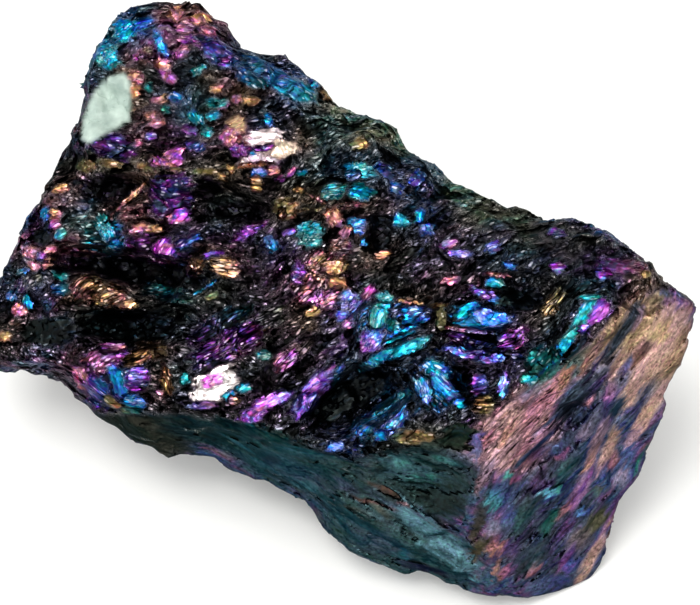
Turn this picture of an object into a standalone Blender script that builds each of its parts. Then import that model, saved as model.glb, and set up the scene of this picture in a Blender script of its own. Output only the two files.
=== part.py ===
# Peacock ore specimen: one natural lump of tarnished bornite, lying on a flat fracture face.
# Metres, +Z up. The origin is under the middle of the stone, at the level that it rests on.
#
# Most corners are placed in the stone's own display frame, in millimetres: ACROSS runs to the
# right, UP runs up the leaning best side, and PROUD points out of it, to where it is looked at
# from. The hidden corners are placed in the level frame that the stone rests in.

import math

import bmesh
import bpy
import numpy as np
from mathutils import Vector

MM = 0.001

# Driving dimensions, in millimetres
DISPLAY_ELEVATION = math.radians(65)  # how steeply the best side looks upwards
DISPLAY_ORIGIN = (0.75, -2.6, 10.6)  # where the display frame's origin stands in the level frame
STONE_NAME = "bornite_stone"
CORE_STEP = 0.30  # spacing of the points that the relief moves
CORE_SMOOTHING = 2
CARVED_STEP = 0.16  # spacing of the points that the carved skin is rebuilt with
TRIANGLES = 7600
REST_CUT = 0.12  # the lowest skin that is ground off, so that the stone stands flat
REST_FADE = 1.6  # height over which the relief grows from nothing above the resting face

COARSE_FACETS = {"cell": 3.4, "lean": 0.15, "step": 0.16, "seed": 11.0}
FINE_FACETS = {"cell": 1.5, "lean": 0.24, "step": 0.09, "seed": 29.0}
WARP = {"cell": 2.2, "reach": 0.3, "seed": 5.0}
CLEAN_BREAK = 0.35  # the share of the relief that the two smoother front faces keep
SKIN_DEPTH = 0.12  # how far the block is shrunk before the relief stands out of it

# The outline of the best side and the rims of its three faces: across, up, proud
DISPLAY_CORNERS = {
    "head_crest": (-7.2, 11.3, -4.5),
    "head_brow": (-10.0, 10.0, -4.9),
    "left_flank": (-11.9, 4.2, -4.0),
    "left_nose": (-13.8, 0.7, -4.2),
    "left_chin": (-12.7, -1.9, -3.0),
    "lobe_left": (-10.3, -3.5, -2.0),
    "lobe_middle": (-8.1, -4.3, -1.2),
    "lobe_right": (-6.0, -4.4, -0.6),
    "sill_left": (-2.0, -5.3, 0.6),
    "sill_middle": (0.4, -5.8, 1.4),
    "sill_right": (4.5, -5.4, 2.6),
    "end_rim_low": (6.7, -3.4, 2.9),
    "end_rim_middle": (9.2, -1.7, 3.0),
    "end_rim_high": (11.7, 1.0, 2.4),
    "shoulder_right": (9.5, 2.3, 1.4),
    "shoulder_middle": (6.0, 3.1, 0.8),
    "shoulder_left": (2.8, 4.7, -0.2),
    "nape_right": (0.8, 6.6, -1.2),
    "nape_middle": (-1.6, 8.4, -2.2),
    "nape_left": (-4.5, 9.9, -3.4),
    "face_middle": (0.0, -1.1, 1.0),
    "crown_left": (-8.8, 12.3, -6.3),
    "crown_middle": (-7.3, 12.7, -6.3),
    "crown_right": (-6.0, 12.5, -6.1),
    "back_rim_1": (-4.8, 11.2, -5.4),
    "back_rim_2": (-3.6, 10.0, -4.7),
    "back_rim_3": (-1.0, 8.9, -3.7),
    "back_rim_4": (1.7, 6.7, -2.6),
    "back_rim_5": (5.8, 3.8, -0.9),
    "back_rim_6": (8.6, 3.4, -0.2),
    "back_rim_7": (10.6, 2.8, 0.6),
    "back_rim_8": (12.2, 1.8, 1.2),
    "end_top": (13.95, -0.1, 0.2),
    "end_right": (14.15, -0.9, -0.6),
    "end_edge_1": (13.45, -3.4, -2.0),
    "end_edge_2": (12.0, -6.3, -3.8),
    "end_edge_3": (11.4, -8.2, -4.9),
    "end_edge_4": (10.5, -10.7, -6.0),
    "foot_right": (10.0, -11.6, -6.4),
    "foot_middle": (8.8, -12.2, -5.9),
    "foot_left": (7.5, -12.3, -5.0),
    "keel_right": (6.2, -12.0, -4.2),
    "keel_middle": (4.1, -11.8, -4.6),
    "keel_left": (1.3, -11.3, -4.9),
    "belly_right": (0.0, -10.4, -4.6),
    "belly_middle": (-1.2, -9.0, -3.6),
    "belly_left": (-2.0, -8.1, -3.0),
    "throat": (-4.5, -6.3, -2.6),
    "jowl": (-8.4, -6.1, -5.0),
    "jaw": (-9.7, -4.8, -3.8),
    "tip_low": (-15.0, -2.7, -4.6),
    "tip_middle": (-15.3, -1.6, -5.0),
    "tip_high": (-15.1, 0.3, -5.0),
    "left_edge_1": (-14.0, 2.5, -5.2),
    "left_edge_2": (-12.5, 4.7, -5.4),
    "left_edge_3": (-11.3, 7.6, -5.9),
    "left_edge_4": (-10.8, 10.1, -6.2),
    "left_edge_5": (-9.9, 11.5, -6.3),
    "end_rim_foot": (6.1, -11.1, -3.0),
    "end_rim_waist": (4.5, -8.1, -0.4),
}

# The hidden back, and the polygon that it rests on: x, y, height above the rest level
BACK_CORNERS = {
    "head_back": (-6.5, 10.5, 6.6),
    "head_side": (-10.0, 8.5, 5.1),
    "left_side": (-12.0, 2.5, 4.1),
    "left_low": (-11.5, -2.0, 3.1),
    "back_middle": (-2.0, 9.2, 5.6),
    "back_right": (4.0, 5.0, 5.6),
    "back_shoulder": (10.0, 2.0, 6.1),
    "end_back": (13.6, -2.2, 6.1),
    "end_low": (12.0, -3.5, 1.6),
    "rest_1": (9.5, -10.0, 0.0),
    "rest_2": (3.0, -9.2, 0.0),
    "rest_3": (-3.0, -4.6, 0.0),
    "rest_4": (-6.0, -1.0, 0.0),
    "rest_5": (-5.0, 5.0, 0.0),
    "rest_6": (0.0, 7.0, 0.0),
    "rest_7": (7.0, 3.0, 0.0),
    "rest_8": (11.0, -2.0, 0.0),
    "rest_9": (10.7, -8.0, 0.0),
}

# Hollows in the outline, as seen from the display side: across, up, reach, push across, push up
OUTLINE_HOLLOWS = {
    "nape_hollow": (4.3, 5.4, 4.9, -0.30, -1.30),
    "back_hollow": (-0.6, 8.8, 3.6, -0.25, -0.60),
    "neck_hollow": (-3.6, 10.8, 2.4, -0.15, -0.30),
    "cheek_hollow": (-12.4, 5.6, 3.8, 0.60, 0.00),
    "chin_hollow": (-12.4, -4.0, 3.0, 0.15, 0.75),
    "throat_hollow": (-5.3, -7.2, 3.4, 0.10, 0.95),
    "belly_hollow": (-2.5, -8.6, 3.2, 0.30, 0.95),
}

# Ledges, pits and lumps on the best side. Each is a patch with rounded corners:
# across, up, half length, half width, turn in degrees, lift, slope along it, slope across it, edge
FORMS = {
    "head_ledge": (-7.0, 6.2, 4.2, 1.5, -4, 0.35, 0.00, -0.26, 0.16),
    "pit_below_head_left": (-9.3, 4.6, 1.1, 0.55, 8, -0.75, 0.0, -0.3, 0.2),
    "pit_below_head_middle": (-5.8, 4.5, 0.85, 0.45, -6, -0.6, 0.0, -0.3, 0.2),
    "pit_below_head_right": (-4.5, 3.8, 1.1, 0.5, -4, -0.7, 0.0, -0.2, 0.2),
    "gold_lump": (-3.8, 6.4, 1.4, 0.95, -32, 0.75, 0.0, -0.1, 0.35),
    "crown_knob": (-7.3, 10.4, 1.5, 0.9, -12, 0.25, 0.0, 0.0, 0.45),
    "brow_knob": (-9.4, 9.2, 0.8, 0.7, 30, 0.25, 0.0, 0.0, 0.45),
    "long_slab": (-9.4, 2.6, 3.1, 0.75, -6, 0.35, 0.0, -0.3, 0.15),
    "long_cavity": (-8.8, 1.25, 3.2, 0.62, -9, -1.15, 0.1, -0.35, 0.2),
    "scaly_slab": (-9.8, 0.4, 1.5, 0.55, -12, 0.3, 0.0, -0.2, 0.2),
    "black_hollow_left": (-8.2, -0.9, 2.4, 0.8, 5, -0.8, 0.0, -0.2, 0.25),
    "magenta_lobe": (-9.7, -3.0, 1.5, 1.1, -40, 0.55, 0.0, 0.0, 0.35),
    "gold_lobe": (-7.3, -3.0, 0.6, 0.95, 0, 0.3, 0.0, 0.0, 0.3),
    "white_facet": (-5.4, -3.3, 1.05, 0.6, 15, 0.5, 0.0, -0.3, 0.15),
    "striped_slab": (-4.0, -1.1, 2.4, 1.0, 22, 0.25, 0.0, -0.2, 0.2),
    "dark_notch": (-5.8, -1.3, 0.6, 0.8, 10, -0.5, 0.0, 0.0, 0.3),
    "lilac_lobe_small": (-3.5, -4.2, 1.0, 0.34, 30, 0.45, 0.0, -0.3, 0.2),
    "lilac_lobe_large": (-1.3, -3.4, 1.3, 0.5, 47, 0.65, 0.0, -0.3, 0.18),
    "black_hollow_middle": (0.1, -3.9, 1.9, 1.1, 22, -1.2, 0.0, -0.2, 0.22),
    "cyan_band_high": (1.8, -1.9, 1.5, 0.4, 28, 0.7, 0.0, -0.4, 0.14),
    "fan_folds": (1.3, -0.3, 1.6, 0.9, 60, 0.35, 0.0, 0.0, 0.25),
    "blue_block": (2.6, -0.5, 0.6, 0.45, 3, 0.45, 0.0, -0.3, 0.15),
    "cyan_band_low": (1.2, -4.5, 1.3, 0.45, 35, 0.55, 0.0, -0.5, 0.15),
    "blue_lumps": (3.6, -3.4, 1.15, 0.6, -35, 0.35, 0.0, 0.0, 0.3),
    "blue_lens": (5.2, -0.4, 1.3, 0.5, -6, 0.6, 0.0, -0.4, 0.14),
    "lens_groove": (5.4, -1.3, 1.6, 0.3, -10, -0.45, 0.0, 0.0, 0.25),
    "violet_slab": (4.8, -1.9, 1.4, 0.35, -8, 0.25, 0.0, -0.3, 0.2),
    "dark_hollow_low": (5.2, -2.8, 1.2, 0.65, 0, -0.6, 0.0, 0.0, 0.3),
    "peacock_facet": (9.2, -0.9, 1.4, 0.5, 52, 0.5, 0.0, 0.2, 0.16),
    "dark_hollow_right": (7.2, 0.5, 1.25, 0.65, -10, -0.7, 0.0, -0.2, 0.25),
    "dark_hollow_centre": (1.4, 2.7, 0.75, 0.9, 0, -0.5, 0.0, 0.0, 0.3),
    "teal_lumps": (-0.2, 4.6, 1.3, 0.7, -5, 0.35, 0.0, 0.0, 0.4),
    "teal_scoop": (2.8, -6.9, 1.7, 1.0, -8, -0.6, 0.0, 0.15, 0.35),
    "sill_step": (-3.6, -5.3, 2.8, 0.3, -9, 0.35, 0.0, -0.3, 0.25),
    "keel_ridge": (2.2, -9.6, 4.0, 0.35, -29, 0.45, 0.0, 0.0, 0.5),
    "black_notch_low": (4.2, -5.6, 0.75, 0.5, 0, -0.5, 0.0, 0.0, 0.3),
    "end_streak_high": (10.9, -3.4, 3.6, 0.5, 60, 0.3, 0.0, 0.15, 0.3),
    "end_streak_low": (8.4, -7.3, 3.2, 0.5, 55, 0.25, 0.0, 0.15, 0.3),
    "end_groove": (8.6, -5.2, 3.4, 0.35, 52, -0.3, 0.0, 0.0, 0.4),
}

TARNISH = {"colour": (0.055, 0.045, 0.11, 1.0), "metallic": 0.9, "roughness": 0.32}


def display_axes():
    """Unit vectors across, up and proud of the leaning display frame."""
    lean_sin = math.sin(DISPLAY_ELEVATION)
    lean_cos = math.cos(DISPLAY_ELEVATION)
    return np.array([(1, 0, 0), (0, lean_sin, lean_cos), (0, -lean_cos, lean_sin)])


def level_from_display(points):
    return np.asarray(points) @ display_axes() + np.array(DISPLAY_ORIGIN)


def display_from_level(points):
    return (np.asarray(points) - np.array(DISPLAY_ORIGIN)) @ display_axes().T


def clear_scene():
    for obj in list(bpy.data.objects):
        bpy.data.objects.remove(obj)


def smoothstep(low, high, values):
    share = np.clip((values - low) / (high - low), 0.0, 1.0)
    return share * share * (3.0 - 2.0 * share)


def cell_random(cells, seed, count):
    """Repeatable numbers from 0 to 1 for each cell of a whole-numbered grid."""
    spread = cells @ np.array([12.9898, 78.233, 37.719]) + seed * 4.581
    primes = np.array([1.0, 1.7321, 2.2361, 2.6458, 3.3166, 3.6056, 4.1231])[:count]
    return np.modf(np.abs(np.sin(spread[:, None] * primes) * 4375.85453))[0]


def facet_relief(points, cell, lean, step, seed):
    """Heights of a broken surface: each cell of the stone is a flat facet with its own lean."""
    scaled = points / cell
    home = np.floor(scaled)
    nearest = np.full(len(points), np.inf)
    height = np.zeros(len(points))
    for corner in np.ndindex(3, 3, 3):
        cells = home + np.array(corner) - 1
        draw = cell_random(cells, seed, 7)
        away = scaled - (cells + 0.15 + 0.7 * draw[:, :3])
        distance = (away**2).sum(axis=1)
        tilt = (draw[:, 3:6] - 0.5) * 2.0 * lean * cell
        plane = (away * tilt).sum(axis=1) + (draw[:, 6] - 0.5) * 2.0 * step
        closer = distance < nearest
        nearest = np.where(closer, distance, nearest)
        height = np.where(closer, plane, height)
    return height


def value_noise(points, cell, seed):
    """Smooth noise from -1 to 1, three numbers for each point."""
    scaled = points / cell
    home = np.floor(scaled)
    share = scaled - home
    share = share * share * (3.0 - 2.0 * share)
    total = np.zeros((len(points), 3))
    for corner in np.ndindex(2, 2, 2):
        weight = np.prod(np.where(np.array(corner) == 1, share, 1.0 - share), axis=1)
        total += weight[:, None] * cell_random(home + np.array(corner), seed, 3)
    return total * 2.0 - 1.0


def form_relief(display):
    """How far the ledges, pits and lumps stand proud at each point of the best side."""
    warped = display[:, :2] + value_noise(display, WARP["cell"], WARP["seed"])[:, :2] * WARP["reach"]
    total = np.zeros(len(display))
    for across, up, half_length, half_width, turn, lift, along_slope, across_slope, edge in FORMS.values():
        angle = math.radians(turn)
        offset = warped - np.array((across, up))
        along = offset @ np.array((math.cos(angle), math.sin(angle)))
        aside = offset @ np.array((-math.sin(angle), math.cos(angle)))
        reach = (np.abs(along / half_length) ** 3 + np.abs(aside / half_width) ** 3) ** (1 / 3)
        mask = 1.0 - smoothstep(1.0 - edge, 1.0 + edge, reach)
        total += mask * (lift + along_slope * along + across_slope * aside)
    return total


def push_hollows(display):
    """Presses the hollows of the outline inwards, at every depth of the stone."""
    for across, up, reach, push_across, push_up in OUTLINE_HOLLOWS.values():
        distance = np.hypot(display[:, 0] - across, display[:, 1] - up)
        share = 1.0 - smoothstep(0.0, reach, distance)
        display[:, 0] += share * push_across
        display[:, 1] += share * push_up
    return display


def core_object():
    """The stone's block: the hull of its corners, as an even mesh of small faces."""
    display = np.array(list(DISPLAY_CORNERS.values()))
    corners = np.vstack([level_from_display(display), np.array(list(BACK_CORNERS.values()))])
    block = bmesh.new()
    for corner in corners:
        block.verts.new(Vector(corner * MM))
    hull = bmesh.ops.convex_hull(block, input=block.verts)
    loose = [part for part in hull["geom_interior"] if isinstance(part, bmesh.types.BMVert)]
    bmesh.ops.delete(block, geom=loose, context="VERTS")
    mesh = bpy.data.meshes.new(STONE_NAME)
    block.to_mesh(mesh)
    block.free()
    stone = bpy.data.objects.new(STONE_NAME, mesh)
    bpy.context.scene.collection.objects.link(stone)
    even_skin(stone, CORE_STEP)
    soften = stone.modifiers.new("softened_edges", "SMOOTH")
    soften.iterations = CORE_SMOOTHING
    bake_modifiers(stone)
    return stone


def even_skin(stone, spacing):
    """Rebuilds the skin as one closed surface of small, even faces."""
    remesh = stone.modifiers.new("even_skin", "REMESH")
    remesh.mode = "VOXEL"
    remesh.voxel_size = spacing * MM


def bake_modifiers(stone):
    """Puts the object's evaluated mesh in place of its own."""
    graph = bpy.context.evaluated_depsgraph_get()
    baked = bpy.data.meshes.new_from_object(stone.evaluated_get(graph))
    stone.modifiers.clear()
    spare = stone.data
    stone.data = baked
    bpy.data.meshes.remove(spare)
    baked.name = STONE_NAME


def carve(stone):
    """Moves the block's points to the broken surface of the stone."""
    mesh = stone.data
    count = len(mesh.vertices)
    level = np.empty(count * 3)
    normals = np.empty(count * 3)
    mesh.vertices.foreach_get("co", level)
    mesh.vertices.foreach_get("normal", normals)
    level = level.reshape(-1, 3) / MM
    normals = normals.reshape(-1, 3)
    grown = smoothstep(0.0, REST_FADE, level[:, 2])
    up, proud = display_axes()[1:]
    facing = smoothstep(0.15, 0.45, normals @ proud)
    clean = facing * smoothstep(0.25, 0.5, normals @ -up)
    display = push_hollows(display_from_level(level))
    relief = facet_relief(display, **COARSE_FACETS) + facet_relief(display, **FINE_FACETS)
    relief = relief * (1.0 - clean * (1.0 - CLEAN_BREAK)) - SKIN_DEPTH
    moved = level_from_display(display) + normals * (relief * grown)[:, None]
    moved += proud * (form_relief(display) * facing * grown)[:, None]
    mesh.vertices.foreach_set("co", (moved * MM).ravel())
    mesh.update()


def simplify(stone):
    even_skin(stone, CARVED_STEP)
    bake_modifiers(stone)
    faces = sum(len(face.vertices) - 2 for face in stone.data.polygons)
    collapse = stone.modifiers.new("fewer_faces", "DECIMATE")
    collapse.ratio = min(1.0, TRIANGLES / faces)
    bake_modifiers(stone)


def grind_rest(stone):
    """Cuts the skin off at the rest level, which leaves one flat face to stand on."""
    shape = bmesh.new()
    shape.from_mesh(stone.data)
    bmesh.ops.bisect_plane(
        shape,
        geom=shape.verts[:] + shape.edges[:] + shape.faces[:],
        plane_co=(0, 0, REST_CUT * MM),
        plane_no=(0, 0, 1),
        clear_inner=True,
    )
    rim = [edge for edge in shape.edges if edge.is_boundary]
    bmesh.ops.contextual_create(shape, geom=rim)
    bmesh.ops.translate(shape, vec=(0, 0, -REST_CUT * MM), verts=shape.verts)
    bmesh.ops.triangulate(shape, faces=shape.faces)
    bmesh.ops.recalc_face_normals(shape, faces=shape.faces)
    shape.to_mesh(stone.data)
    shape.free()


def tarnish_material():
    material = bpy.data.materials.new("tarnished_bornite")
    material.use_nodes = True
    shader = material.node_tree.nodes["Principled BSDF"]
    shader.inputs["Base Color"].default_value = TARNISH["colour"]
    shader.inputs["Metallic"].default_value = TARNISH["metallic"]
    shader.inputs["Roughness"].default_value = TARNISH["roughness"]
    return material


def main():
    clear_scene()
    stone = core_object()
    carve(stone)
    simplify(stone)
    grind_rest(stone)
    stone.data.materials.append(tarnish_material())


main()
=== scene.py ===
import math

import bmesh
import bpy
import numpy as np
from mathutils import Matrix, Vector


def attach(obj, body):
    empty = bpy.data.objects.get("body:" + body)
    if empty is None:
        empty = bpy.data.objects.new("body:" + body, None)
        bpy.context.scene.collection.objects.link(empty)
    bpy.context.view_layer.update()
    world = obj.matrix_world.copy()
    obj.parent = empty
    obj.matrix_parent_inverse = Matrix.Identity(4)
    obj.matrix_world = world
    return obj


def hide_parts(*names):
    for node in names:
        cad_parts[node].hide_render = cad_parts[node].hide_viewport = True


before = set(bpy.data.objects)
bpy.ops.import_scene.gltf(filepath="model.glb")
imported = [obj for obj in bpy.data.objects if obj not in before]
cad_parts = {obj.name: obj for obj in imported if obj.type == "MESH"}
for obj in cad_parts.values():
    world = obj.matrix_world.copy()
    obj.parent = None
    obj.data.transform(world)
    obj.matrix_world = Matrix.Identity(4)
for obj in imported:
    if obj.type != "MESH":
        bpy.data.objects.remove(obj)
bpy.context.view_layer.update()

# Peacock ore: one lump of tarnished bornite. Everything on the stone is placed in its display frame, in
# millimetres: across to the right, up the leaning best side, and proud, out of it towards the camera.

mm = 0.001

display = {
    "elevation": 65,  # degrees that the best side looks up
    "origin": (0.75, -2.6, 10.48),  # where the display frame starts, in the stone's own frame
}


def linearColour(hexText):
    parts = [int(hexText[i : i + 2], 16) / 255 for i in (0, 2, 4)]
    return tuple(p / 12.92 if p <= 0.04045 else ((p + 0.055) / 1.055) ** 2.4 for p in parts) + (1.0,)


def displayAxes():
    lean = math.radians(display["elevation"])
    s, c = math.sin(lean), math.cos(lean)
    return np.array([(1, 0, 0), (0, s, c), (0, -c, s)])


def toDisplay(points):
    return (points / mm - np.array(display["origin"])) @ displayAxes().T


def smoothStep(low, high, values):
    share = np.clip((values - low) / (high - low), 0, 1)
    return share * share * (3 - 2 * share)


def turned(points, degrees):
    # the display plane turned so that the first number runs along a feature
    angle = math.radians(degrees)
    c, s = math.cos(angle), math.sin(angle)
    return points @ np.array([(c, s, 0), (-s, c, 0), (0, 0, 1)]).T


def spun(place, angle):
    c, s = np.cos(angle), np.sin(angle)
    return np.stack([c * place[:, 0] + s * place[:, 1], c * place[:, 1] - s * place[:, 0], place[:, 2]], axis=1)


def cellDraws(cells, table):
    side = table.shape[0]
    index = np.mod(cells, side).astype(int)
    return table[index[:, 0], index[:, 1], index[:, 2]]


def smoothNoise(points, cell, seed):
    table = np.random.default_rng(seed).random((31, 31, 31, 7))
    scaled = points / cell
    home = np.floor(scaled)
    share = smoothStep(0, 1, scaled - home)
    total = np.zeros((len(points), 3))
    for corner in np.ndindex(2, 2, 2):
        side = np.array(corner)
        weight = np.prod(np.where(side == 1, share, 1 - share), axis=1)
        total += weight[:, None] * cellDraws(home.astype(int) + side, table)[:, :3]
    return total * 2 - 1


def readVertices(mesh, name, count=3):
    values = np.empty(len(mesh.vertices) * count)
    mesh.vertices.foreach_get(name, values)
    return values.reshape(-1, count)


def readVectors(mesh, name):
    values = np.empty(len(mesh.vertices) * 3, dtype=np.float32)
    mesh.attributes[name].data.foreach_get("vector", values)
    mesh.attributes.remove(mesh.attributes[name])
    return values.reshape(-1, 3).astype(float)


def bakeModifiers(piece):
    graph = bpy.context.evaluated_depsgraph_get()
    baked = bpy.data.meshes.new_from_object(piece.evaluated_get(graph))
    piece.modifiers.clear()
    piece.data = baked


def addNode(tree, kind, settings=None, inputs=None, links=None):
    node = tree.nodes.new(kind)
    for name, value in (settings or {}).items():
        setattr(node, name, value)
    for name, value in (inputs or {}).items():
        node.inputs[name].default_value = value
    for name, source in (links or {}).items():
        tree.links.new(source, node.inputs[name])
    return node


camera = {"distance": 140, "lens": 180, "sensor": 36}


def makeCamera():
    data = bpy.data.cameras.new("camera")
    data.lens = camera["lens"]
    data.sensor_width = camera["sensor"]
    data.clip_start = 10 * mm
    data.clip_end = 5000 * mm
    eye = bpy.data.objects.new("camera", data)
    bpy.context.scene.collection.objects.link(eye)
    across, up, proud = displayAxes()
    spot = (np.array(display["origin"]) + proud * camera["distance"]) * mm
    eye.matrix_world = Matrix.Translation(Vector(spot)) @ Matrix((across, up, proud)).transposed().to_4x4()
    bpy.context.scene.camera = eye


# the way to each panel across, along +Y and up; its distance and size in millimetres; how bright it is
lights = {
    "keyPanel": {
        "towards": (-0.25, 0.02, 0.965), "distance": 420, "size": 200, "radiance": 7.0, "colour": "FFFEFB",
    },
    "keyHalo": {
        "towards": (-0.25, 0.02, 0.965), "distance": 440, "size": 800, "radiance": 1.2, "colour": "FFFFFF",
    },
    "frontPanel": {
        "towards": (0.35, -0.80, 0.36), "distance": 520, "size": 420, "radiance": 1.9, "colour": "FFFFFF",
    },
    "rightPanel": {
        "towards": (0.90, 0.25, 0.34), "distance": 460, "size": 300, "radiance": 2.0, "colour": "FFFFFF",
    },
}

world = {
    "overhead": 0.10,
    "horizon": 2.0,
    "fade": (0.16, 0.42),  # height of the direction where the bright horizon starts and stops fading
    "colour": "FFFFFF",
}


def makeLights():
    target = Vector((0, 0, 6 * mm))  # the middle of the stone
    for name, light in lights.items():
        data = bpy.data.lights.new(name, "AREA")
        data.shape = "SQUARE"
        data.size = light["size"] * mm
        data.energy = light["radiance"] * math.pi * data.size**2
        data.color = linearColour(light["colour"])[:3]
        lamp = bpy.data.objects.new(name, data)
        bpy.context.scene.collection.objects.link(lamp)
        towards = Vector(light["towards"]).normalized()
        lamp.location = target + towards * light["distance"] * mm
        lamp.rotation_euler = towards.to_track_quat("Z", "Y").to_euler()
    sky = bpy.data.worlds.new("studio")
    sky.use_nodes = True
    tree = sky.node_tree
    shader = tree.nodes["Background"]
    shader.inputs["Color"].default_value = linearColour(world["colour"])
    direction = addNode(tree, "ShaderNodeTexCoord").outputs["Generated"]
    height = addNode(tree, "ShaderNodeSeparateXYZ", links={0: direction}).outputs["Z"]
    low, high = world["fade"]
    glow = addNode(
        tree,
        "ShaderNodeMapRange",
        {"interpolation_type": "SMOOTHSTEP"},
        {"From Min": low, "From Max": high, "To Min": world["horizon"], "To Max": world["overhead"]},
        {"Value": height},
    )
    tree.links.new(glow.outputs[0], shader.inputs["Strength"])
    bpy.context.scene.world = sky
    bpy.context.scene.view_settings.view_transform = "Standard"


stage = {"size": 1200, "colour": "F6F6F4", "roughness": 0.7}


def floorMaterial():
    # matt white card
    material = bpy.data.materials.new("paleCard")
    material.use_nodes = True
    shader = material.node_tree.nodes["Principled BSDF"]
    shader.inputs["Base Color"].default_value = linearColour(stage["colour"])
    shader.inputs["Roughness"].default_value = stage["roughness"]
    return material


def makeFloor():
    shape = bmesh.new()
    bmesh.ops.create_grid(shape, x_segments=1, y_segments=1, size=stage["size"] / 2 * mm)
    mesh = bpy.data.meshes.new("floor")
    shape.to_mesh(mesh)
    shape.free()
    floor = bpy.data.objects.new("floor", mesh)
    bpy.context.scene.collection.objects.link(floor)
    mesh.materials.append(floorMaterial())


stone = {
    "step": 0.088,  # spacing of the points that the fracture moves
    "soften": 3,  # rounds of smoothing after the remesh
    "triangles": 194000,
    "hiddenFirst": 0.0002,  # how much sooner the thinning takes the sides away from the camera
    "sharpEdge": 30,  # degrees
}


def denseStone():
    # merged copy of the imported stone, remeshed evenly and finely
    shape = bmesh.new()
    shape.from_mesh(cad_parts["bornite_stone"].data)
    bmesh.ops.remove_doubles(shape, verts=shape.verts, dist=0.0005 * mm)
    mesh = bpy.data.meshes.new("peacockOre")
    shape.to_mesh(mesh)
    shape.free()
    piece = bpy.data.objects.new("peacockOre", mesh)
    bpy.context.scene.collection.objects.link(piece)
    remesh = piece.modifiers.new("evenSkin", "REMESH")
    remesh.mode = "VOXEL"
    remesh.voxel_size = stone["step"] * mm
    soften = piece.modifiers.new("soften", "SMOOTH")
    soften.iterations = stone["soften"]
    bakeModifiers(piece)
    return piece


def patchReach(flat, across, up, halfLength, halfWidth, turn, margin, fringe=0):
    # the points near a patch, how far along it they lie, and 1 at its outline
    away = np.abs(flat - np.array((across, up, 0))).max(axis=1)
    near = np.nonzero(away < margin * 1.3 * max(halfLength, halfWidth))[0]
    offset = turned(flat[near] - np.array((across, up, 0)), turn)
    along, aside = offset[:, 0] / halfLength, offset[:, 1] / halfWidth
    power = 3 if not fringe else 2.3
    reach = (np.abs(along) ** power + np.abs(aside) ** power) ** (1 / power)
    if fringe:  # fibres that run along the patch fray its outline
        fibres = smoothNoise(offset * np.array((2.2, 11, 0)) + across + up, 1, 31)[:, 0]
        reach = reach + fringe * fibres
    kept = reach < margin
    return near[kept], along[kept], reach[kept]


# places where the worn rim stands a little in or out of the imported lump: across, up, half sizes, turn, and the
# way it moves across and up
rimShifts = {
    "backShoulder": (7.2, 4.0, 2.4, 2.3, -15, -0.10, -0.75),
    "middleShoulder": (2.05, 6.4, 1.5, 1.7, -35, -0.15, -0.40),
    "crownSlope": (-4.4, 10.7, 1.7, 1.6, -30, -0.10, -0.34),
    "crownCorner": (-6.5, 11.9, 0.9, 1.2, 0, 0.10, 0.60),
    "endFoot": (9.7, -10.4, 2.6, 1.7, 62, 0.26, -0.12),
}


def settleRim(piece):
    mesh = piece.data
    points = readVertices(mesh, "co")
    place = toDisplay(points) * np.array((1, 1, 0))
    axes = displayAxes()
    for across, up, halfLength, halfWidth, turn, shiftAcross, shiftUp in rimShifts.values():
        near, along, reach = patchReach(place, across, up, halfLength, halfWidth, turn, 1)
        share = (1 - smoothStep(0, 1, reach))[:, None] * mm
        points[near] += share * (axes[0] * shiftAcross + axes[1] * shiftUp)
    points[:, 2] = np.maximum(points[:, 2], 0)
    mesh.vertices.foreach_set("co", points.ravel())
    mesh.update()


# uneven break of the best side; lengths in millimetres, turns in degrees
breaking = {
    "floorFade": 0.9,  # height over which the break grows above the resting face
    "warp": (0.22, 1.3),  # how far the grid of the grains wanders, and over what length
    "grainTurn": (-8.0, 30.0, -3.5),  # ledges lie nearly level on the left, climb on the right, and change here
    "streakTurn": (-32.0, 54.0),  # streaks of the undercut front, and of the broken end
    "facetDepth": 0.34,  # how far a bright facet may sink or rise as it turns to the light
    "cleanShare": 0.22,  # what the two cleaner front faces keep of the break
    "fringe": 0.3,  # how far the fibres fray the outline of a patch
    "rimShare": 0.14,  # what the turn of the outline keeps
    "underShare": 0.55,  # what the underside and the back keep
}

# facets of the broken surface: cell length and width, turn, how far a facet leans, steps, and the seed
facets = {
    "ledges": {"long": 2.1, "wide": 0.72, "turn": 0, "lean": 0.34, "step": 0.15, "seed": 3},
    "chips": {"long": 0.95, "wide": 0.32, "turn": 9, "lean": 0.42, "step": 0.05, "seed": 5},
    "grains": {"long": 0.42, "wide": 0.17, "turn": -6, "lean": 0.42, "step": 0.012, "seed": 6},
}

# where the shattered best side ends above the two cleaner front faces: across and up
breakLine = [
    (-14.4, -2.9), (-11.8, -3.7), (-10.3, -4.5), (-6.4, -4.3), (-4.0, -4.9), (-2.0, -5.6),
    (0.0, -6.2), (1.2, -5.9), (2.8, -5.4), (4.6, -5.0), (5.7, -4.0), (7.6, -2.8),
    (9.4, -1.4), (10.7, 0.1), (11.9, 0.6), (13.2, 0.8),
]


def cellFacets(points, angle, form):
    # nearest seed of a jittered grid: its draws, the way to it, and the turn of the grid
    table = np.random.default_rng(form["seed"]).random((41, 41, 41, 7))
    size = np.array((form["long"], form["wide"], form["wide"]))
    angle = angle + math.radians(form["turn"])
    scaled = spun(points, angle) / size
    home = np.floor(scaled).astype(int)
    best = np.full(len(points), 99.0)
    bestCell = np.zeros_like(home)
    for corner in np.ndindex(3, 3, 3):
        cells = home + np.array(corner) - 1
        away = scaled - (cells + 0.1 + 0.8 * cellDraws(cells, table)[:, :3])
        distance = (away**2).sum(axis=1)
        closer = distance < best
        best = np.where(closer, distance, best)
        bestCell[closer] = cells[closer]
    draws = cellDraws(bestCell, table)
    away = (scaled - (bestCell + 0.1 + 0.8 * draws[:, :3])) * size
    return {"draws": draws, "away": away, "angle": angle}


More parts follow.
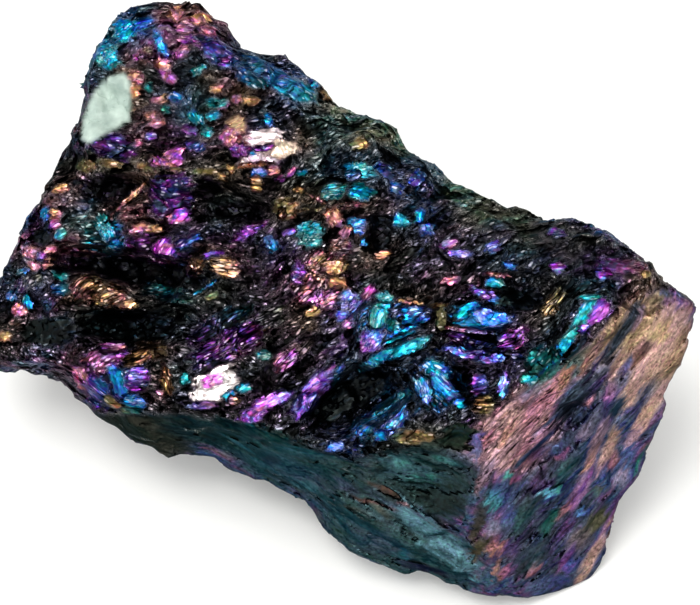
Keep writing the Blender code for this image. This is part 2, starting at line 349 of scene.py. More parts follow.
def facetHeight(cell, form):
    slope = (cell["away"] * (cell["draws"][:, 3:6] - 0.5)).sum(axis=1)
    return slope * 2 * form["lean"] + (cell["draws"][:, 6] - 0.5) * 2 * form["step"]


# the tarnish film from thin to thick, as a share of the thickest, and the colour that it gives
film = {
    "tan": (0.00, "CC9A6A"),
    "goldTan": (0.04, "CFA565"),
    "gold": (0.08, "D8B478"),
    "copper": (0.17, "DD8A60"),
    "dust": (0.23, "C68A94"),
    "rose": (0.28, "DE6A92"),
    "mauve": (0.33, "B08AB6"),
    "magenta": (0.38, "C93FC0"),
    "violet": (0.47, "7A3CD0"),
    "steel": (0.53, "7089B4"),
    "blue": (0.59, "2C55D6"),
    "cyan": (0.68, "1296D8"),
    "teal": (0.77, "16B0A4"),
    "slate": (0.83, "4C98AC"),
    "green": (0.89, "4C9468"),
    "olive": (1.00, "86805A"),
}


def filmColour(thickness):
    positions = [position for position, colour in film.values()]
    table = np.array([linearColour(colour)[:3] for position, colour in film.values()])
    return np.stack([np.interp(thickness, positions, table[:, i]) for i in range(3)], axis=1)


# across, up, half length, half width, turn, film, spread of the film, shine, ash, knobs, stripes
regions = {
    "headCrown": (-7.4, 10.4, 3.1, 1.9, -20, "blue", 0.26, 0.80, 0.3, 1.0, 0.0),
    "headLeft": (-9.3, 11.0, 1.9, 1.4, 0, "cyan", 0.07, 1.20, 0.1, 1.0, 0.0),
    "headRim": (-2.7, 8.9, 2.5, 0.8, -28, "blue", 0.10, 0.80, 0.1, 0.9, 0.0),
    "neck": (-6.8, 7.8, 3.1, 1.4, -5, "teal", 0.24, 0.74, 0.4, 1.0, 0.0),
    "lumpBack": (-1.0, 6.2, 2.0, 1.7, -35, "teal", 0.12, 0.26, 0.3, 0.6, 0.0),
    "lip": (-8.4, 5.6, 3.9, 0.3, -2, "olive", 0.12, 0.20, 0.5, 0.8, 0.0),
    "leftFlank": (-12.1, 2.2, 2.3, 3.3, 60, "violet", 0.50, 0.62, 0.1, 0.6, 0.0),
    "violetShelf": (-7.3, 2.9, 2.9, 1.1, 0, "violet", 0.14, 0.50, 0.0, 0.4, 0.3),
    "goldShelf": (-5.4, 1.4, 1.7, 0.6, -5, "copper", 0.12, 0.40, 0.0, 0.2, 0.8),
    "tealPits": (-5.1, 4.0, 1.6, 1.1, 0, "teal", 0.10, 0.14, 0.3, 0.5, 0.0),
    "greyViolet": (-3.5, 0.8, 1.8, 1.3, 20, "violet", 0.10, 0.26, 0.2, 0.3, 0.6),
    "stripedSlab": (-4.2, -1.3, 2.5, 1.2, 25, "violet", 0.10, 0.34, 0.1, 0.0, 1.0),
    "redFanField": (-1.3, 1.2, 1.7, 1.8, 35, "rose", 0.14, 0.60, 0.0, 0.1, 0.9),
    "centreBlue": (1.0, -0.8, 2.1, 1.5, 25, "cyan", 0.10, 0.50, 0.0, 0.3, 0.3),
    "centreLow": (2.0, -3.1, 2.4, 1.6, 30, "blue", 0.10, 0.20, 0.0, 0.3, 0.2),
    "tealHighField": (-0.2, 4.3, 1.9, 1.4, -10, "teal", 0.10, 0.34, 0.1, 0.6, 0.0),
    "dustLine": (-0.8, 3.8, 2.0, 0.2, 0, "green", 0.10, 0.45, 0.7, 0.6, 0.0),
    "darkCentre": (2.5, 1.6, 1.7, 1.8, 0, "violet", 0.20, 0.07, 0.1, 0.4, 0.0),
    "blueField": (5.1, -1.1, 2.2, 1.9, -10, "blue", 0.08, 0.36, 0.0, 0.2, 0.3),
    "violetField": (4.2, 1.6, 1.8, 1.0, -10, "violet", 0.10, 0.26, 0.1, 0.3, 0.3),
    "rightRim": (7.7, 2.6, 4.2, 0.8, -18, "olive", 0.10, 0.34, 0.6, 0.8, 0.0),
    "farRight": (10.8, 1.4, 1.7, 0.8, -8, "violet", 0.14, 0.30, 0.3, 0.6, 0.0),
    "rightFacets": (7.7, -1.7, 1.9, 1.8, 50, "teal", 0.10, 0.30, 0.1, 0.2, 0.2),
    "tealBelt": (6.7, 1.6, 2.0, 0.8, -15, "teal", 0.12, 0.24, 0.4, 0.6, 0.0),
    "lowerRight": (4.8, -3.5, 2.1, 1.7, -20, "blue", 0.10, 0.30, 0.1, 0.3, 0.2),
    "oliveBelt": (3.2, -5.3, 2.0, 0.6, -5, "green", 0.10, 0.16, 0.6, 0.7, 0.0),
    "lowerLobes": (-9.4, -2.8, 2.0, 1.5, -20, "violet", 0.36, 0.42, 0.0, 0.4, 0.3),
    "brownHollows": (-7.7, -2.3, 1.4, 1.2, 0, "gold", 0.12, 0.20, 0.1, 0.3, 0.2),
    "lowMiddle": (-3.2, -3.7, 2.8, 1.1, 20, "magenta", 0.22, 0.24, 0.1, 0.3, 0.4),
    # painted shade round a sunken hollow on the left
    "pocketShade": (-9.0, -0.8, 2.9, 1.0, 0, "teal", 0.10, 0.06, 0.1, 0.2, 0.0),
    "shadowFlank": (-8.8, -5.3, 2.5, 1.1, -10, "olive", 0.06, 0.06, 0.3, 0.2, 0.0),
    "sillLeft": (-5.5, -5.1, 2.4, 0.9, -15, "slate", 0.04, 0.05, 0.1, 0.1, 0.3),
    "frontLeft": (-2.0, -6.4, 3.2, 1.5, -22, "slate", 0.04, 0.13, 0.1, 0.0, 0.3),
    "frontScoop": (2.8, -7.0, 2.4, 1.4, -12, "slate", 0.04, 0.08, 0.1, 0.0, 0.2),
    "frontLow": (2.0, -9.9, 3.7, 1.6, -26, "slate", 0.04, 0.16, 0.1, 0.0, 0.2),
    "endUpper": (11.5, -1.9, 2.4, 2.4, 55, "tan", 0.03, 0.53, 0.0, 0.0, 0.4),
    "endMiddle": (10.0, -5.1, 3.0, 2.0, 55, "steel", 0.08, 0.26, 0.0, 0.0, 0.8),
    "endLeft": (6.1, -5.0, 1.7, 2.4, 60, "dust", 0.05, 0.56, 0.0, 0.0, 1.2),
    "endLow": (8.0, -9.1, 2.5, 2.0, 60, "steel", 0.10, 0.16, 0.1, 0.1, 0.9),
    "endFoot": (9.4, -10.9, 2.1, 1.2, 40, "steel", 0.10, 0.19, 0.1, 0.0, 0.4),
    "rimBackHigh": (0.0, 7.8, 2.7, 0.7, -36, "green", 0.10, 0.70, 0.2, 0.9, 0.0),
    "rimBackLow": (3.7, 5.1, 3.4, 0.6, -37, "green", 0.12, 0.60, 0.3, 0.9, 0.0),
    "rimBackFar": (7.2, 3.3, 2.4, 0.5, -20, "olive", 0.10, 0.50, 0.5, 0.8, 0.0),
}


def regionValues(flat, scatter):
    # soft fields: colour of the film, shine, ash, knobs, stripes
    values = np.tile(np.array((0, 0, 0, 0.25, 0.15, 0.5, 0.1)), (len(flat), 1))
    values[:, :3] = filmColour(0.5 + 0.5 * scatter)
    for across, up, halfLength, halfWidth, turn, tone, spread, shine, ash, knobs, stripes in regions.values():
        near, along, reach = patchReach(flat, across, up, halfLength, halfWidth, turn, 1.25)
        share = (1 - smoothStep(0.65, 1.25, reach))[:, None]
        fields = np.tile(np.array((0, 0, 0, shine, ash, knobs, stripes)), (len(near), 1))
        fields[:, :3] = filmColour(film[tone][0] + 2 * spread * scatter[near])
        values[near] = values[near] * (1 - share) + share * fields
    return values


def surface(points, normals):
    # everything the fracture and the paint share, from the unbroken surface
    place = toDisplay(points)
    axes = displayAxes()
    s = {"place": place, "facing": normals @ axes[2]}
    s["best"] = smoothStep(0.05, 0.35, s["facing"])
    s["grown"] = smoothStep(0, breaking["floorFade"], points[:, 2] / mm)
    wander, wanderLength = breaking["warp"]
    warp = smoothNoise(place, wanderLength, 21) * wander
    warped = place + warp
    line = np.array(breakLine)
    below = np.interp(place[:, 0], line[:, 0], line[:, 1]) - place[:, 1] - 0.4 * warp[:, 1]
    s["clean"] = s["best"] * smoothStep(-0.05, 0.3, below)
    s["end"] = place[:, 0] > 5.0 + 0.16 * (place[:, 1] + 6)  # the broken end, right of the undercut front
    left, right, change = breaking["grainTurn"]
    grainAngle = np.radians(np.where(warped[:, 0] + 2 * warp[:, 2] > change, right, left))
    s["grainAngle"] = grainAngle
    found = {name: cellFacets(warped, grainAngle, form) for name, form in facets.items()}
    s["found"] = found
    s["heights"] = {name: facetHeight(found[name], form) for name, form in facets.items()}
    # edges of regions and patches follow those of the grains, or fray along the streaks of the clean faces
    away = spun(found["grains"]["away"], -found["grains"]["angle"])
    frayed = place + 0.25 * warp - 0.28 * away
    frontTurn, endTurn = breaking["streakTurn"]
    streakAngle = np.radians(np.where(s["end"], endTurn, frontTurn))
    s["streak"] = smoothNoise(spun(place, streakAngle) * np.array((0.14, 1, 1)), 0.15, 23)
    s["smear"] = smoothNoise(spun(place, streakAngle) * np.array((0.4, 1, 1)), 0.45, 24)
    fray = np.stack([0.30 * s["streak"][:, 0], 0.06 * s["streak"][:, 1], 0 * below], axis=1)
    clean = s["clean"][:, None]
    s["flat"] = (frayed * (1 - clean) + (place + spun(fray, -streakAngle)) * clean) * np.array((1, 1, 0))
    chip, grain, ledge = (found[name]["draws"] for name in ("chips", "grains", "ledges"))
    scatter = 0.5 * (chip[:, 0] - 0.5) + 0.5 * (ledge[:, 1] - 0.5) + 0.4 * (grain[:, 1] - 0.5)
    s["scatter"] = scatter * (1 - s["clean"]) + (0.4 * s["smear"][:, 2] + 0.3 * s["streak"][:, 2]) * s["clean"]
    s["field"] = regionValues(s["flat"], s["scatter"])
    hidden = (1 - s["best"])[:, None]
    unseen = np.tile(np.array((0, 0, 0, 0.30, 0.2, 0.6, 0.1)), (len(place), 1))
    unseen[:, :3] = filmColour(0.74 + 0.7 * s["scatter"])
    s["field"] = s["field"] * (1 - hidden) + hidden * unseen
    return s


# the patch of gangue on the head, corner by corner, and the width of its edge
pale = {
    "corners": [
        (-9.33, 9.47), (-9.12, 9.19), (-9.04, 8.44), (-9.08, 7.49), (-9.81, 7.07),
        (-10.78, 6.52), (-11.11, 6.75), (-11.01, 7.63), (-10.55, 8.79), (-9.92, 9.37),
    ],
    "edge": 0.3,
}


def gangueShare(s):
    # inside every side of the pale patch
    spot = s["place"] * 0.85 + s["flat"] * 0.15
    inside = np.full(len(spot), 9.0)
    corners = pale["corners"]
    for (ax, ay), (bx, by) in zip(corners, corners[1:] + corners[:1]):
        length = math.hypot(bx - ax, by - ay)
        inside = np.minimum(inside, ((spot[:, 0] - ax) * (by - ay) - (spot[:, 1] - ay) * (bx - ax)) / length)
    return smoothStep(-pale["edge"] / 2, pale["edge"] / 2, inside) * s["best"]


# facets, lumps, rims and hollows by themselves: across, up, half length, half width, turn, lift,
# film at both ends, shine and stripes. A shine near zero in a sunken pit, hollow or cavity is painted shade;
# the brightest shine, on facets also turned to the key light, is partly painted highlight and glare
patches = {
    # head
    "headBlueLump": (-10.0, 10.2, 0.66, 0.50, -35, 0.15, "cyan", "teal", 0.60, 0.0),
    "headCyanDropLeft": (-9.4, 11.3, 0.54, 0.50, 0, 0.18, "cyan", "cyan", 0.74, 0.0),
    "headCyanDropRight": (-8.6, 11.6, 0.50, 0.29, 15, 0.15, "cyan", "cyan", 0.80, 0.0),
    "headCyanStreak": (-7.8, 10.7, 0.78, 0.25, -65, 0.20, "cyan", "blue", 0.84, 0.0),
    "headRosePair": (-6.8, 11.5, 0.50, 0.42, 0, 0.28, "rose", "rose", 0.98, 0.0),
    "headOrangeKnob": (-6.2, 11.7, 0.45, 0.29, 0, 0.18, "copper", "copper", 0.90, 0.0),
    "headRoseTip": (-7.2, 12.0, 0.38, 0.38, 60, 0.18, "rose", "copper", 0.80, 0.0),
    "headMagentaSkirt": (-6.7, 10.8, 0.54, 0.21, -10, 0.10, "magenta", "magenta", 0.66, 0.0),
    "headRoseRight": (-5.9, 11.2, 0.37, 0.29, -30, 0.10, "rose", "rose", 0.70, 0.0),
    "headVioletSlope": (-5.5, 10.3, 1.31, 0.49, -38, 0.00, "violet", "blue", 0.20, 0.0),
    "headVioletSpot": (-5.1, 9.8, 0.25, 0.25, 0, 0.15, "violet", "violet", 0.36, 0.0),
    "headGreyKnob": (-8.3, 10.3, 0.29, 0.25, 0, 0.15, "rose", "olive", 0.21, 0.0),
    "headRoseGrain": (-8.8, 10.1, 0.16, 0.16, 0, 0.10, "rose", "rose", 0.42, 0.0),
    "headPinkUpper": (-7.7, 9.8, 0.37, 0.29, 0, 0.16, "rose", "rose", 0.96, 0.0),
    "headPinkLower": (-7.5, 9.3, 0.49, 0.25, -35, 0.18, "magenta", "rose", 0.90, 0.0),
    "headCopperUpper": (-8.8, 9.3, 0.37, 0.33, -5, 0.25, "copper", "rose", 0.86, 0.0),
    "headCopperLower": (-8.8, 8.7, 0.29, 0.37, 0, 0.20, "copper", "copper", 0.84, 0.0),
    "headTealKnob": (-8.3, 8.9, 0.21, 0.25, 0, 0.20, "teal", "teal", 0.51, 0.0),
    "headPaleCrumbs": (-7.8, 8.4, 0.41, 0.21, 10, 0.15, "rose", "gold", 0.78, 0.0),
    "headTealCrumb": (-7.6, 8.0, 0.25, 0.21, 0, 0.15, "teal", "teal", 0.51, 0.0),
    "headGoldCrumb": (-8.2, 7.7, 0.29, 0.21, 0, 0.18, "gold", "rose", 0.69, 0.0),
    "headVioletCrumb": (-8.2, 6.8, 0.29, 0.25, 0, 0.10, "violet", "violet", 0.48, 0.0),
    "headRimBand": (-2.7, 9.0, 1.64, 0.53, -30, 0.05, "blue", "teal", 0.46, 0.0),
    "headSlopeBlue": (-4.0, 9.1, 0.73, 0.33, -35, 0.00, "blue", "teal", 0.22, 0.0),
    "headLilacKnob": (-7.0, 10.3, 0.37, 0.29, 20, 0.16, "magenta", "rose", 0.62, 0.0),
    "headTealDrop": (-6.3, 9.5, 0.37, 0.21, 30, 0.12, "teal", "teal", 0.50, 0.0),
    "headGoldDrop": (-5.5, 8.8, 0.33, 0.21, 0, 0.14, "gold", "copper", 0.60, 0.0),
    "headRoseDrop": (-5.2, 8.1, 0.33, 0.20, 10, 0.14, "rose", "magenta", 0.66, 0.0),
    "headBlueDrop": (-7.2, 8.5, 0.37, 0.25, -20, 0.10, "blue", "cyan", 0.46, 0.0),
    "headRoseLower": (-7.9, 7.4, 0.37, 0.25, 15, 0.16, "rose", "copper", 0.66, 0.0),
    "headLilacLower": (-6.6, 7.1, 0.41, 0.25, -10, 0.12, "magenta", "violet", 0.50, 0.0),
    "headTealLower": (-5.6, 7.6, 0.37, 0.25, 20, 0.14, "teal", "cyan", 0.62, 0.0),
    "headRimDropA": (-3.6, 9.6, 0.37, 0.25, 0, 0.12, "teal", "blue", 0.42, 0.0),
    "headRimDropB": (-2.7, 9.1, 0.25, 0.25, 0, 0.12, "blue", "blue", 0.48, 0.0),
    "headRimDropC": (-1.5, 9.0, 0.25, 0.25, 0, 0.12, "blue", "cyan", 0.48, 0.0),
    "headRimGold": (-0.9, 8.6, 0.33, 0.29, 0, 0.12, "gold", "gold", 0.36, 0.0),
    "headOliveSpot": (0.4, 6.4, 0.36, 0.28, 10, 0.12, "olive", "gold", 0.36, 0.0),
    "tealStreak": (-6.3, 7.6, 0.49, 0.25, -45, 0.20, "cyan", "teal", 0.72, 0.0),
    "tealStreakTail": (-5.8, 7.0, 0.33, 0.25, -45, 0.10, "teal", "teal", 0.51, 0.0),
    "tealHaze": (-5.5, 8.2, 0.53, 0.29, 0, 0.05, "teal", "teal", 0.24, 0.0),
    "rosePairHigh": (-4.6, 8.3, 0.25, 0.25, 0, 0.20, "rose", "rose", 0.66, 0.0),
    "goldKnobHigh": (-4.0, 8.2, 0.37, 0.24, -5, 0.28, "gold", "copper", 0.72, 0.0),
    "violetCrumbsHigh": (-6.3, 6.4, 0.49, 0.25, 0, 0.10, "violet", "blue", 0.30, 0.0),
    # bright lumps
    "yellowLump": (-4.6, 7.2, 0.41, 0.49, 25, 0.40, "gold", "gold", 1.00, -0.8),
    "coralLump": (-4.9, 6.7, 0.49, 0.37, -35, 0.35, "rose", "rose", 0.95, 0.0),
    "coralLumpRight": (-4.3, 6.3, 0.44, 0.40, -30, 0.30, "rose", "rose", 0.90, 0.0),
    "glareBarUpper": (-3.5, 6.7, 0.81, 0.40, 5, 0.40, "rose", "rose", 1.20, -0.6),
    "glareBarLower": (-3.5, 5.8, 1.05, 0.32, 8, 0.40, "rose", "rose", 1.15, -0.6),
    "glareBarEnd": (-2.7, 6.2, 0.36, 0.65, -85, 0.40, "gold", "gold", 1.10, -0.8),
    "violetGroove": (-3.6, 6.2, 0.56, 0.10, 8, -0.35, "violet", "violet", 0.48, 0.0),
    "cyanInBar": (-4.0, 6.0, 0.24, 0.12, 0, 0.30, "cyan", "blue", 0.84, 0.0),
    "barUnderside": (-3.9, 5.5, 0.81, 0.10, 8, 0.00, "copper", "copper", 0.60, 0.0),
    "barLowerKnob": (-3.1, 5.3, 0.36, 0.20, 10, 0.20, "rose", "copper", 0.90, 0.0),
    "blueKnobAbove": (-3.3, 7.4, 0.37, 0.20, -80, 0.35, "cyan", "blue", 0.75, 0.0),
    "blueCrumbsBelow": (-3.7, 5.2, 0.36, 0.24, 0, 0.20, "blue", "blue", 0.75, 0.0),
    "lilacPeg": (-2.4, 5.3, 0.32, 0.12, 40, 0.25, "magenta", "rose", 0.84, 0.0),
    "lilacPegLow": (-2.8, 5.0, 0.20, 0.16, 40, 0.15, "violet", "magenta", 0.54, 0.0),
    "violetLumpDull": (-4.5, 6.1, 0.40, 0.28, 0, 0.15, "violet", "magenta", 0.45, 0.0),
    "magentaFin": (-7.2, 5.9, 0.57, 0.45, 35, 0.40, "rose", "magenta", 0.90, 0.0),
    "magentaFinLeft": (-7.8, 5.7, 0.41, 0.24, 0, 0.20, "magenta", "magenta", 0.63, 0.0),
    "roseCrumbPair": (-8.7, 6.5, 0.25, 0.21, 0, 0.15, "rose", "rose", 0.66, 0.0),
    "violetMatte": (-9.8, 6.4, 1.15, 0.57, -20, 0.00, "violet", "violet", 0.14, 0.0),
    "oliveLip": (-9.8, 5.7, 0.57, 0.20, -5, 0.25, "olive", "gold", 0.45, 0.0),
    "oliveLipLeft": (-10.8, 5.6, 0.45, 0.29, 0, 0.20, "olive", "gold", 0.30, 0.0),
    "goldLip": (-8.4, 5.5, 0.37, 0.16, -20, 0.20, "gold", "olive", 0.45, 0.0),
    "goldLipMiddle": (-7.0, 5.3, 0.41, 0.16, -15, 0.20, "gold", "olive", 0.45, 0.0),
    "oliveLipRight": (-6.0, 5.3, 0.65, 0.16, 0, 0.15, "olive", "gold", 0.30, 0.0),
    "goldLipRight": (-5.2, 5.1, 0.24, 0.16, -30, 0.20, "gold", "gold", 0.51, 0.0),
    "goldCrumbLow": (-4.8, 5.4, 0.16, 0.20, 0, 0.20, "gold", "gold", 0.66, 0.0),
    "goldKnobLow": (-3.8, 4.7, 0.24, 0.32, 0, 0.20, "copper", "gold", 0.42, 0.0),
    # left half
    "pitShadeLeft": (-10.0, 4.7, 1.32, 0.49, -3, -0.35, "violet", "violet", 0.01, 0.0),
    "stripedFin": (-9.0, 4.3, 0.91, 0.13, 40, 0.30, "gold", "rose", 0.60, 1.0),
    "violetSmooth": (-7.3, 4.3, 0.98, 0.98, 0, 0.05, "violet", "violet", 0.17, -0.3),
    "magentaSpot": (-7.0, 3.5, 0.53, 0.33, 15, 0.15, "magenta", "magenta", 0.58, 0.0),
    "pitShadeMiddle": (-5.8, 4.6, 0.57, 0.45, -5, -0.35, "violet", "violet", 0.01, 0.0),
    "pitShadeRight": (-4.6, 3.7, 0.90, 0.33, -5, -0.35, "violet", "violet", 0.01, 0.0),
    "goldLeftKnob": (-11.9, 4.7, 0.37, 0.21, 10, 0.20, "gold", "copper", 0.60, 0.0),
    "leftBlue": (-12.6, 3.6, 0.25, 0.33, 0, 0.15, "blue", "cyan", 0.72, 0.0),
    "leftOrange": (-12.1, 3.6, 0.29, 0.29, 0, 0.20, "copper", "rose", 0.90, 0.0),
    "leftPink": (-12.1, 3.2, 0.33, 0.21, 0, 0.10, "magenta", "rose", 0.86, 0.0),
    "leftCyan": (-11.9, 2.8, 0.41, 0.25, 35, 0.20, "cyan", "green", 0.80, 0.0),
    "leftHollowShade": (-12.7, 2.7, 0.49, 0.37, 0, -0.30, "blue", "blue", 0.01, 0.0),
    "leftPaleCluster": (-13.1, 2.1, 0.41, 0.29, -20, 0.30, "rose", "rose", 0.98, 0.0),
    "leftPaleHeart": (-12.7, 1.9, 0.25, 0.21, 20, 0.10, "blue", "violet", 0.60, 0.0),
    "leftPaleCrumb": (-12.4, 1.6, 0.33, 0.25, 40, 0.20, "rose", "gold", 0.88, 0.0),
    "leftPaleCrumbLow": (-13.0, 1.5, 0.29, 0.21, -10, 0.15, "copper", "rose", 0.74, 0.0),
    "leftPaleCrumbHigh": (-12.3, 2.2, 0.25, 0.16, 10, 0.15, "rose", "rose", 0.80, 0.0),
    "leftGlintRow": (-13.5, 1.3, 0.33, 0.16, 20, 0.10, "teal", "blue", 0.40, 0.4),
    "leftTipCyan": (-13.3, -0.0, 0.37, 0.25, -80, 0.20, "cyan", "cyan", 0.80, 0.0),
    "leftTipPink": (-13.6, -0.3, 0.33, 0.29, -30, 0.15, "rose", "rose", 0.80, 0.0),
    "leftTipBlue": (-13.9, 0.3, 0.29, 0.21, 20, 0.15, "blue", "cyan", 0.54, 0.0),
    "leftTipGold": (-14.2, -1.4, 0.37, 0.25, 10, 0.15, "gold", "copper", 0.48, 0.0),
    "leftTeal": (-11.9, 1.1, 0.41, 0.25, -20, 0.15, "teal", "teal", 0.36, 0.0),
    "leftBlueDim": (-11.8, 0.6, 0.41, 0.29, 0, 0.05, "blue", "teal", 0.24, 0.0),
    "leftScales": (-13.3, 0.8, 0.70, 0.33, 30, 0.10, "violet", "olive", 0.21, 0.6),
    "violetFieldLeft": (-8.1, 2.0, 1.63, 0.98, 0, 0.00, "magenta", "violet", 0.20, 0.9),
    "tealFieldLeft": (-10.1, 2.7, 0.90, 0.98, 0, 0.00, "teal", "cyan", 0.22, 0.8),
    "cyanCluster": (-10.0, 3.0, 0.70, 0.37, -58, 0.25, "teal", "cyan", 0.60, 0.4),
    "cyanKnob": (-9.7, 2.2, 0.49, 0.29, 20, 0.30, "teal", "cyan", 0.84, 0.0),
    "pinkCrumbRow": (-8.6, 3.0, 0.49, 0.24, 15, 0.20, "rose", "rose", 0.72, 0.0),
    "copperCrumbRow": (-7.9, 3.0, 0.37, 0.16, 0, 0.15, "copper", "gold", 0.54, 0.0),
    "magentaArc": (-7.5, 2.1, 0.53, 0.49, 60, 0.20, "magenta", "magenta", 0.62, 0.4),
    "magentaArcFoot": (-8.1, 1.6, 0.78, 0.21, 12, 0.15, "rose", "magenta", 0.66, 0.0),
    "magentaEdge": (-9.3, 1.7, 0.37, 0.12, 15, 0.15, "rose", "magenta", 0.60, 0.0),
    "violetDiagonal": (-4.1, 2.9, 0.81, 0.24, 25, 0.20, "violet", "magenta", 0.60, 0.4),
    "violetStreakLow": (-5.5, 1.9, 0.48, 0.16, 15, 0.15, "violet", "violet", 0.54, 0.4),
    "violetStreakLeft": (-6.5, 2.5, 0.57, 0.24, 30, 0.10, "violet", "blue", 0.33, 0.5),
    "blueSpot": (-3.2, 2.4, 0.40, 0.24, -65, 0.20, "blue", "cyan", 0.63, 0.0),
    "goldScaleLeft": (-6.3, 1.4, 0.41, 0.32, 30, 0.20, "dust", "gold", 0.54, 1.0),
    "goldScaleRight": (-5.0, 1.4, 0.65, 0.40, -10, 0.20, "gold", "dust", 0.54, 1.0),
    "paleScratch": (-8.9, 4.4, 0.99, 0.07, 42, 0.20, "rose", "gold", 0.85, -0.5),
    "paleScratchFoot": (-9.8, 3.5, 0.37, 0.06, 50, 0.10, "gold", "rose", 0.60, -0.5),
    "paleScratchLeft": (-11.0, 2.1, 0.91, 0.07, -10, 0.20, "rose", "gold", 0.80, -0.5),
    "paleScratchLow": (-4.5, -1.7, 1.36, 0.06, 24, 0.20, "rose", "rose", 0.80, -0.5),
    "paleScratchLower": (-4.7, -2.2, 1.04, 0.06, 30, 0.20, "rose", "magenta", 0.66, -0.5),
    "paleHook": (-6.4, 4.0, 0.06, 0.37, -10, 0.10, "green", "rose", 0.50, 0.0),
    "strokeTeal": (-5.9, 0.6, 0.65, 0.08, 30, 0.10, "teal", "cyan", 0.50, 0.0),
    "thinRim": (-10.9, 2.1, 0.78, 0.08, -8, 0.30, "rose", "rose", 0.95, -0.5),
    "ledgeShadowLens": (-9.0, 1.3, 3.14, 0.50, -7, -0.30, "violet", "blue", 0.01, 0.0),
    "goldGrooves": (-10.7, 0.6, 0.65, 0.61, 40, 0.15, "dust", "gold", 0.50, 1.0),
    "goldGroovesRight": (-9.6, 0.4, 0.77, 0.49, 25, 0.15, "gold", "dust", 0.54, 1.0),
    "goldFoot": (-9.0, -0.1, 0.49, 0.20, 10, 0.20, "dust", "gold", 0.56, 0.6),
    "greyScales": (-7.5, 0.4, 1.15, 0.33, -12, 0.10, "teal", "teal", 0.21, 0.5),
    "oliveKnob": (-5.5, 0.2, 0.28, 0.20, 0, 0.25, "olive", "olive", 0.72, 0.0),
    "hollowShade": (-8.9, -0.9, 1.88, 0.70, 0, -0.30, "teal", "blue", 0.02, 0.0),
    "hollowShadeLeft": (-12.3, -1.2, 1.23, 0.57, 5, -0.20, "teal", "blue", 0.01, 0.0),
    # lower left lobes
    "lumpBase": (-9.6, -3.1, 1.62, 1.09, 38, 0.05, "violet", "blue", 0.32, 0.7),
    "lumpBaseHigh": (-10.0, -2.4, 0.97, 0.53, 20, 0.10, "magenta", "violet", 0.46, 0.7),
    "magentaLobe": (-9.8, -2.2, 0.89, 0.45, 22, 0.30, "rose", "violet", 0.66, 0.6),
    "redCrest": (-9.6, -1.8, 0.49, 0.24, 5, 0.15, "magenta", "rose", 0.56, 0.0),
    "rosePaleHeel": (-10.9, -3.1, 0.37, 0.49, 30, 0.25, "rose", "rose", 0.84, 0.0),
    "blueHeel": (-10.3, -3.4, 0.57, 0.41, -40, 0.15, "violet", "blue", 0.54, 0.3),
    "blueCurve": (-9.3, -3.3, 0.89, 0.32, -66, 0.25, "blue", "cyan", 0.64, 0.0),
    "blueCurveFoot": (-8.7, -4.0, 0.53, 0.32, -10, 0.20, "cyan", "blue", 0.60, 0.0),
    "violetLobe": (-8.6, -3.0, 0.52, 0.52, 0, 0.10, "violet", "violet", 0.42, 0.5),
    "oliveCrumbs": (-9.7, -4.0, 0.41, 0.24, -35, 0.20, "olive", "gold", 0.48, 0.0),
    "oliveFoot": (-8.9, -4.4, 0.49, 0.16, 0, 0.15, "olive", "teal", 0.42, 0.0),
    "brownHollow": (-8.1, -1.9, 0.73, 0.36, 0, -0.10, "copper", "gold", 0.10, 0.0),
    "brownLobe": (-8.6, -2.2, 0.57, 0.36, 20, 0.10, "gold", "copper", 0.24, 1.0),
    "goldBlock": (-7.4, -3.1, 0.65, 0.24, -80, 0.20, "copper", "gold", 0.46, 1.0),
    "goldBlockTip": (-7.6, -3.6, 0.20, 0.16, 0, 0.10, "rose", "copper", 0.54, 0.0),
    "stripedViolet": (-5.1, -2.0, 1.20, 0.28, 28, 0.15, "violet", "magenta", 0.45, 1.0),
    "stripedGrey": (-5.2, -0.9, 1.29, 0.48, 25, 0.10, "violet", "teal", 0.21, 1.0),
    "stripedDark": (-3.5, -0.8, 1.20, 0.40, 28, 0.05, "violet", "olive", 0.15, 1.0),
    "brightLine": (-4.2, -1.5, 0.96, 0.08, 27, 0.30, "rose", "gold", 0.72, 0.0),
    "stripesField": (-5.0, -1.8, 1.61, 0.64, 27, 0.05, "violet", "magenta", 0.26, 1.1),
    "glareFacet": (-5.4, -3.3, 1.12, 0.64, 20, 0.40, "rose", "rose", 1.30, -1.0),
    "glareFacetHeart": (-5.5, -3.1, 0.52, 0.28, 20, 0.40, "magenta", "magenta", 0.90, -0.6),
    "glareFacetCyan": (-4.8, -3.7, 0.36, 0.20, 30, 0.35, "cyan", "blue", 0.85, -1.0),
    "tealBitLeft": (-6.6, -3.0, 0.20, 0.28, 20, 0.20, "teal", "teal", 0.54, 0.0),
    "tealBitRight": (-4.3, -3.4, 0.32, 0.20, 20, 0.20, "cyan", "teal", 0.60, 0.0),
    "facetFoot": (-5.9, -4.1, 0.64, 0.16, 5, 0.15, "blue", "magenta", 0.54, 0.0),
    "facetCrumbs": (-4.6, -3.9, 0.28, 0.20, 0, 0.10, "rose", "copper", 0.44, 0.6),
    "lilacLow": (-3.7, -4.3, 0.84, 0.36, 42, 0.25, "violet", "magenta", 0.80, -0.2),
    "lilacHigh": (-3.1, -3.9, 0.80, 0.28, 25, 0.20, "magenta", "violet", 0.74, -0.2),
    "lilacBig": (-1.3, -3.4, 1.12, 0.44, 47, 0.35, "magenta", "violet", 0.86, -0.4),
    "lilacBigFoot": (-1.8, -4.1, 0.72, 0.36, 35, 0.20, "violet", "blue", 0.78, -0.3),
    "tealEdge": (-0.5, -2.9, 0.56, 0.16, 65, 0.20, "teal", "blue", 0.36, 0.0),
    "dullRed": (-2.6, -2.3, 0.64, 0.36, 42, 0.10, "rose", "magenta", 0.30, 1.0),
    "tealSpot": (-3.4, -2.1, 0.32, 0.24, 0, 0.15, "teal", "teal", 0.30, 0.0),
    # centre
    "redFan": (-1.3, 0.9, 1.20, 0.88, 42, 0.15, "rose", "copper", 0.64, 1.2),
    "goldenFan": (-0.4, 0.7, 0.48, 0.32, -20, 0.15, "gold", "copper", 0.60, 0.5),
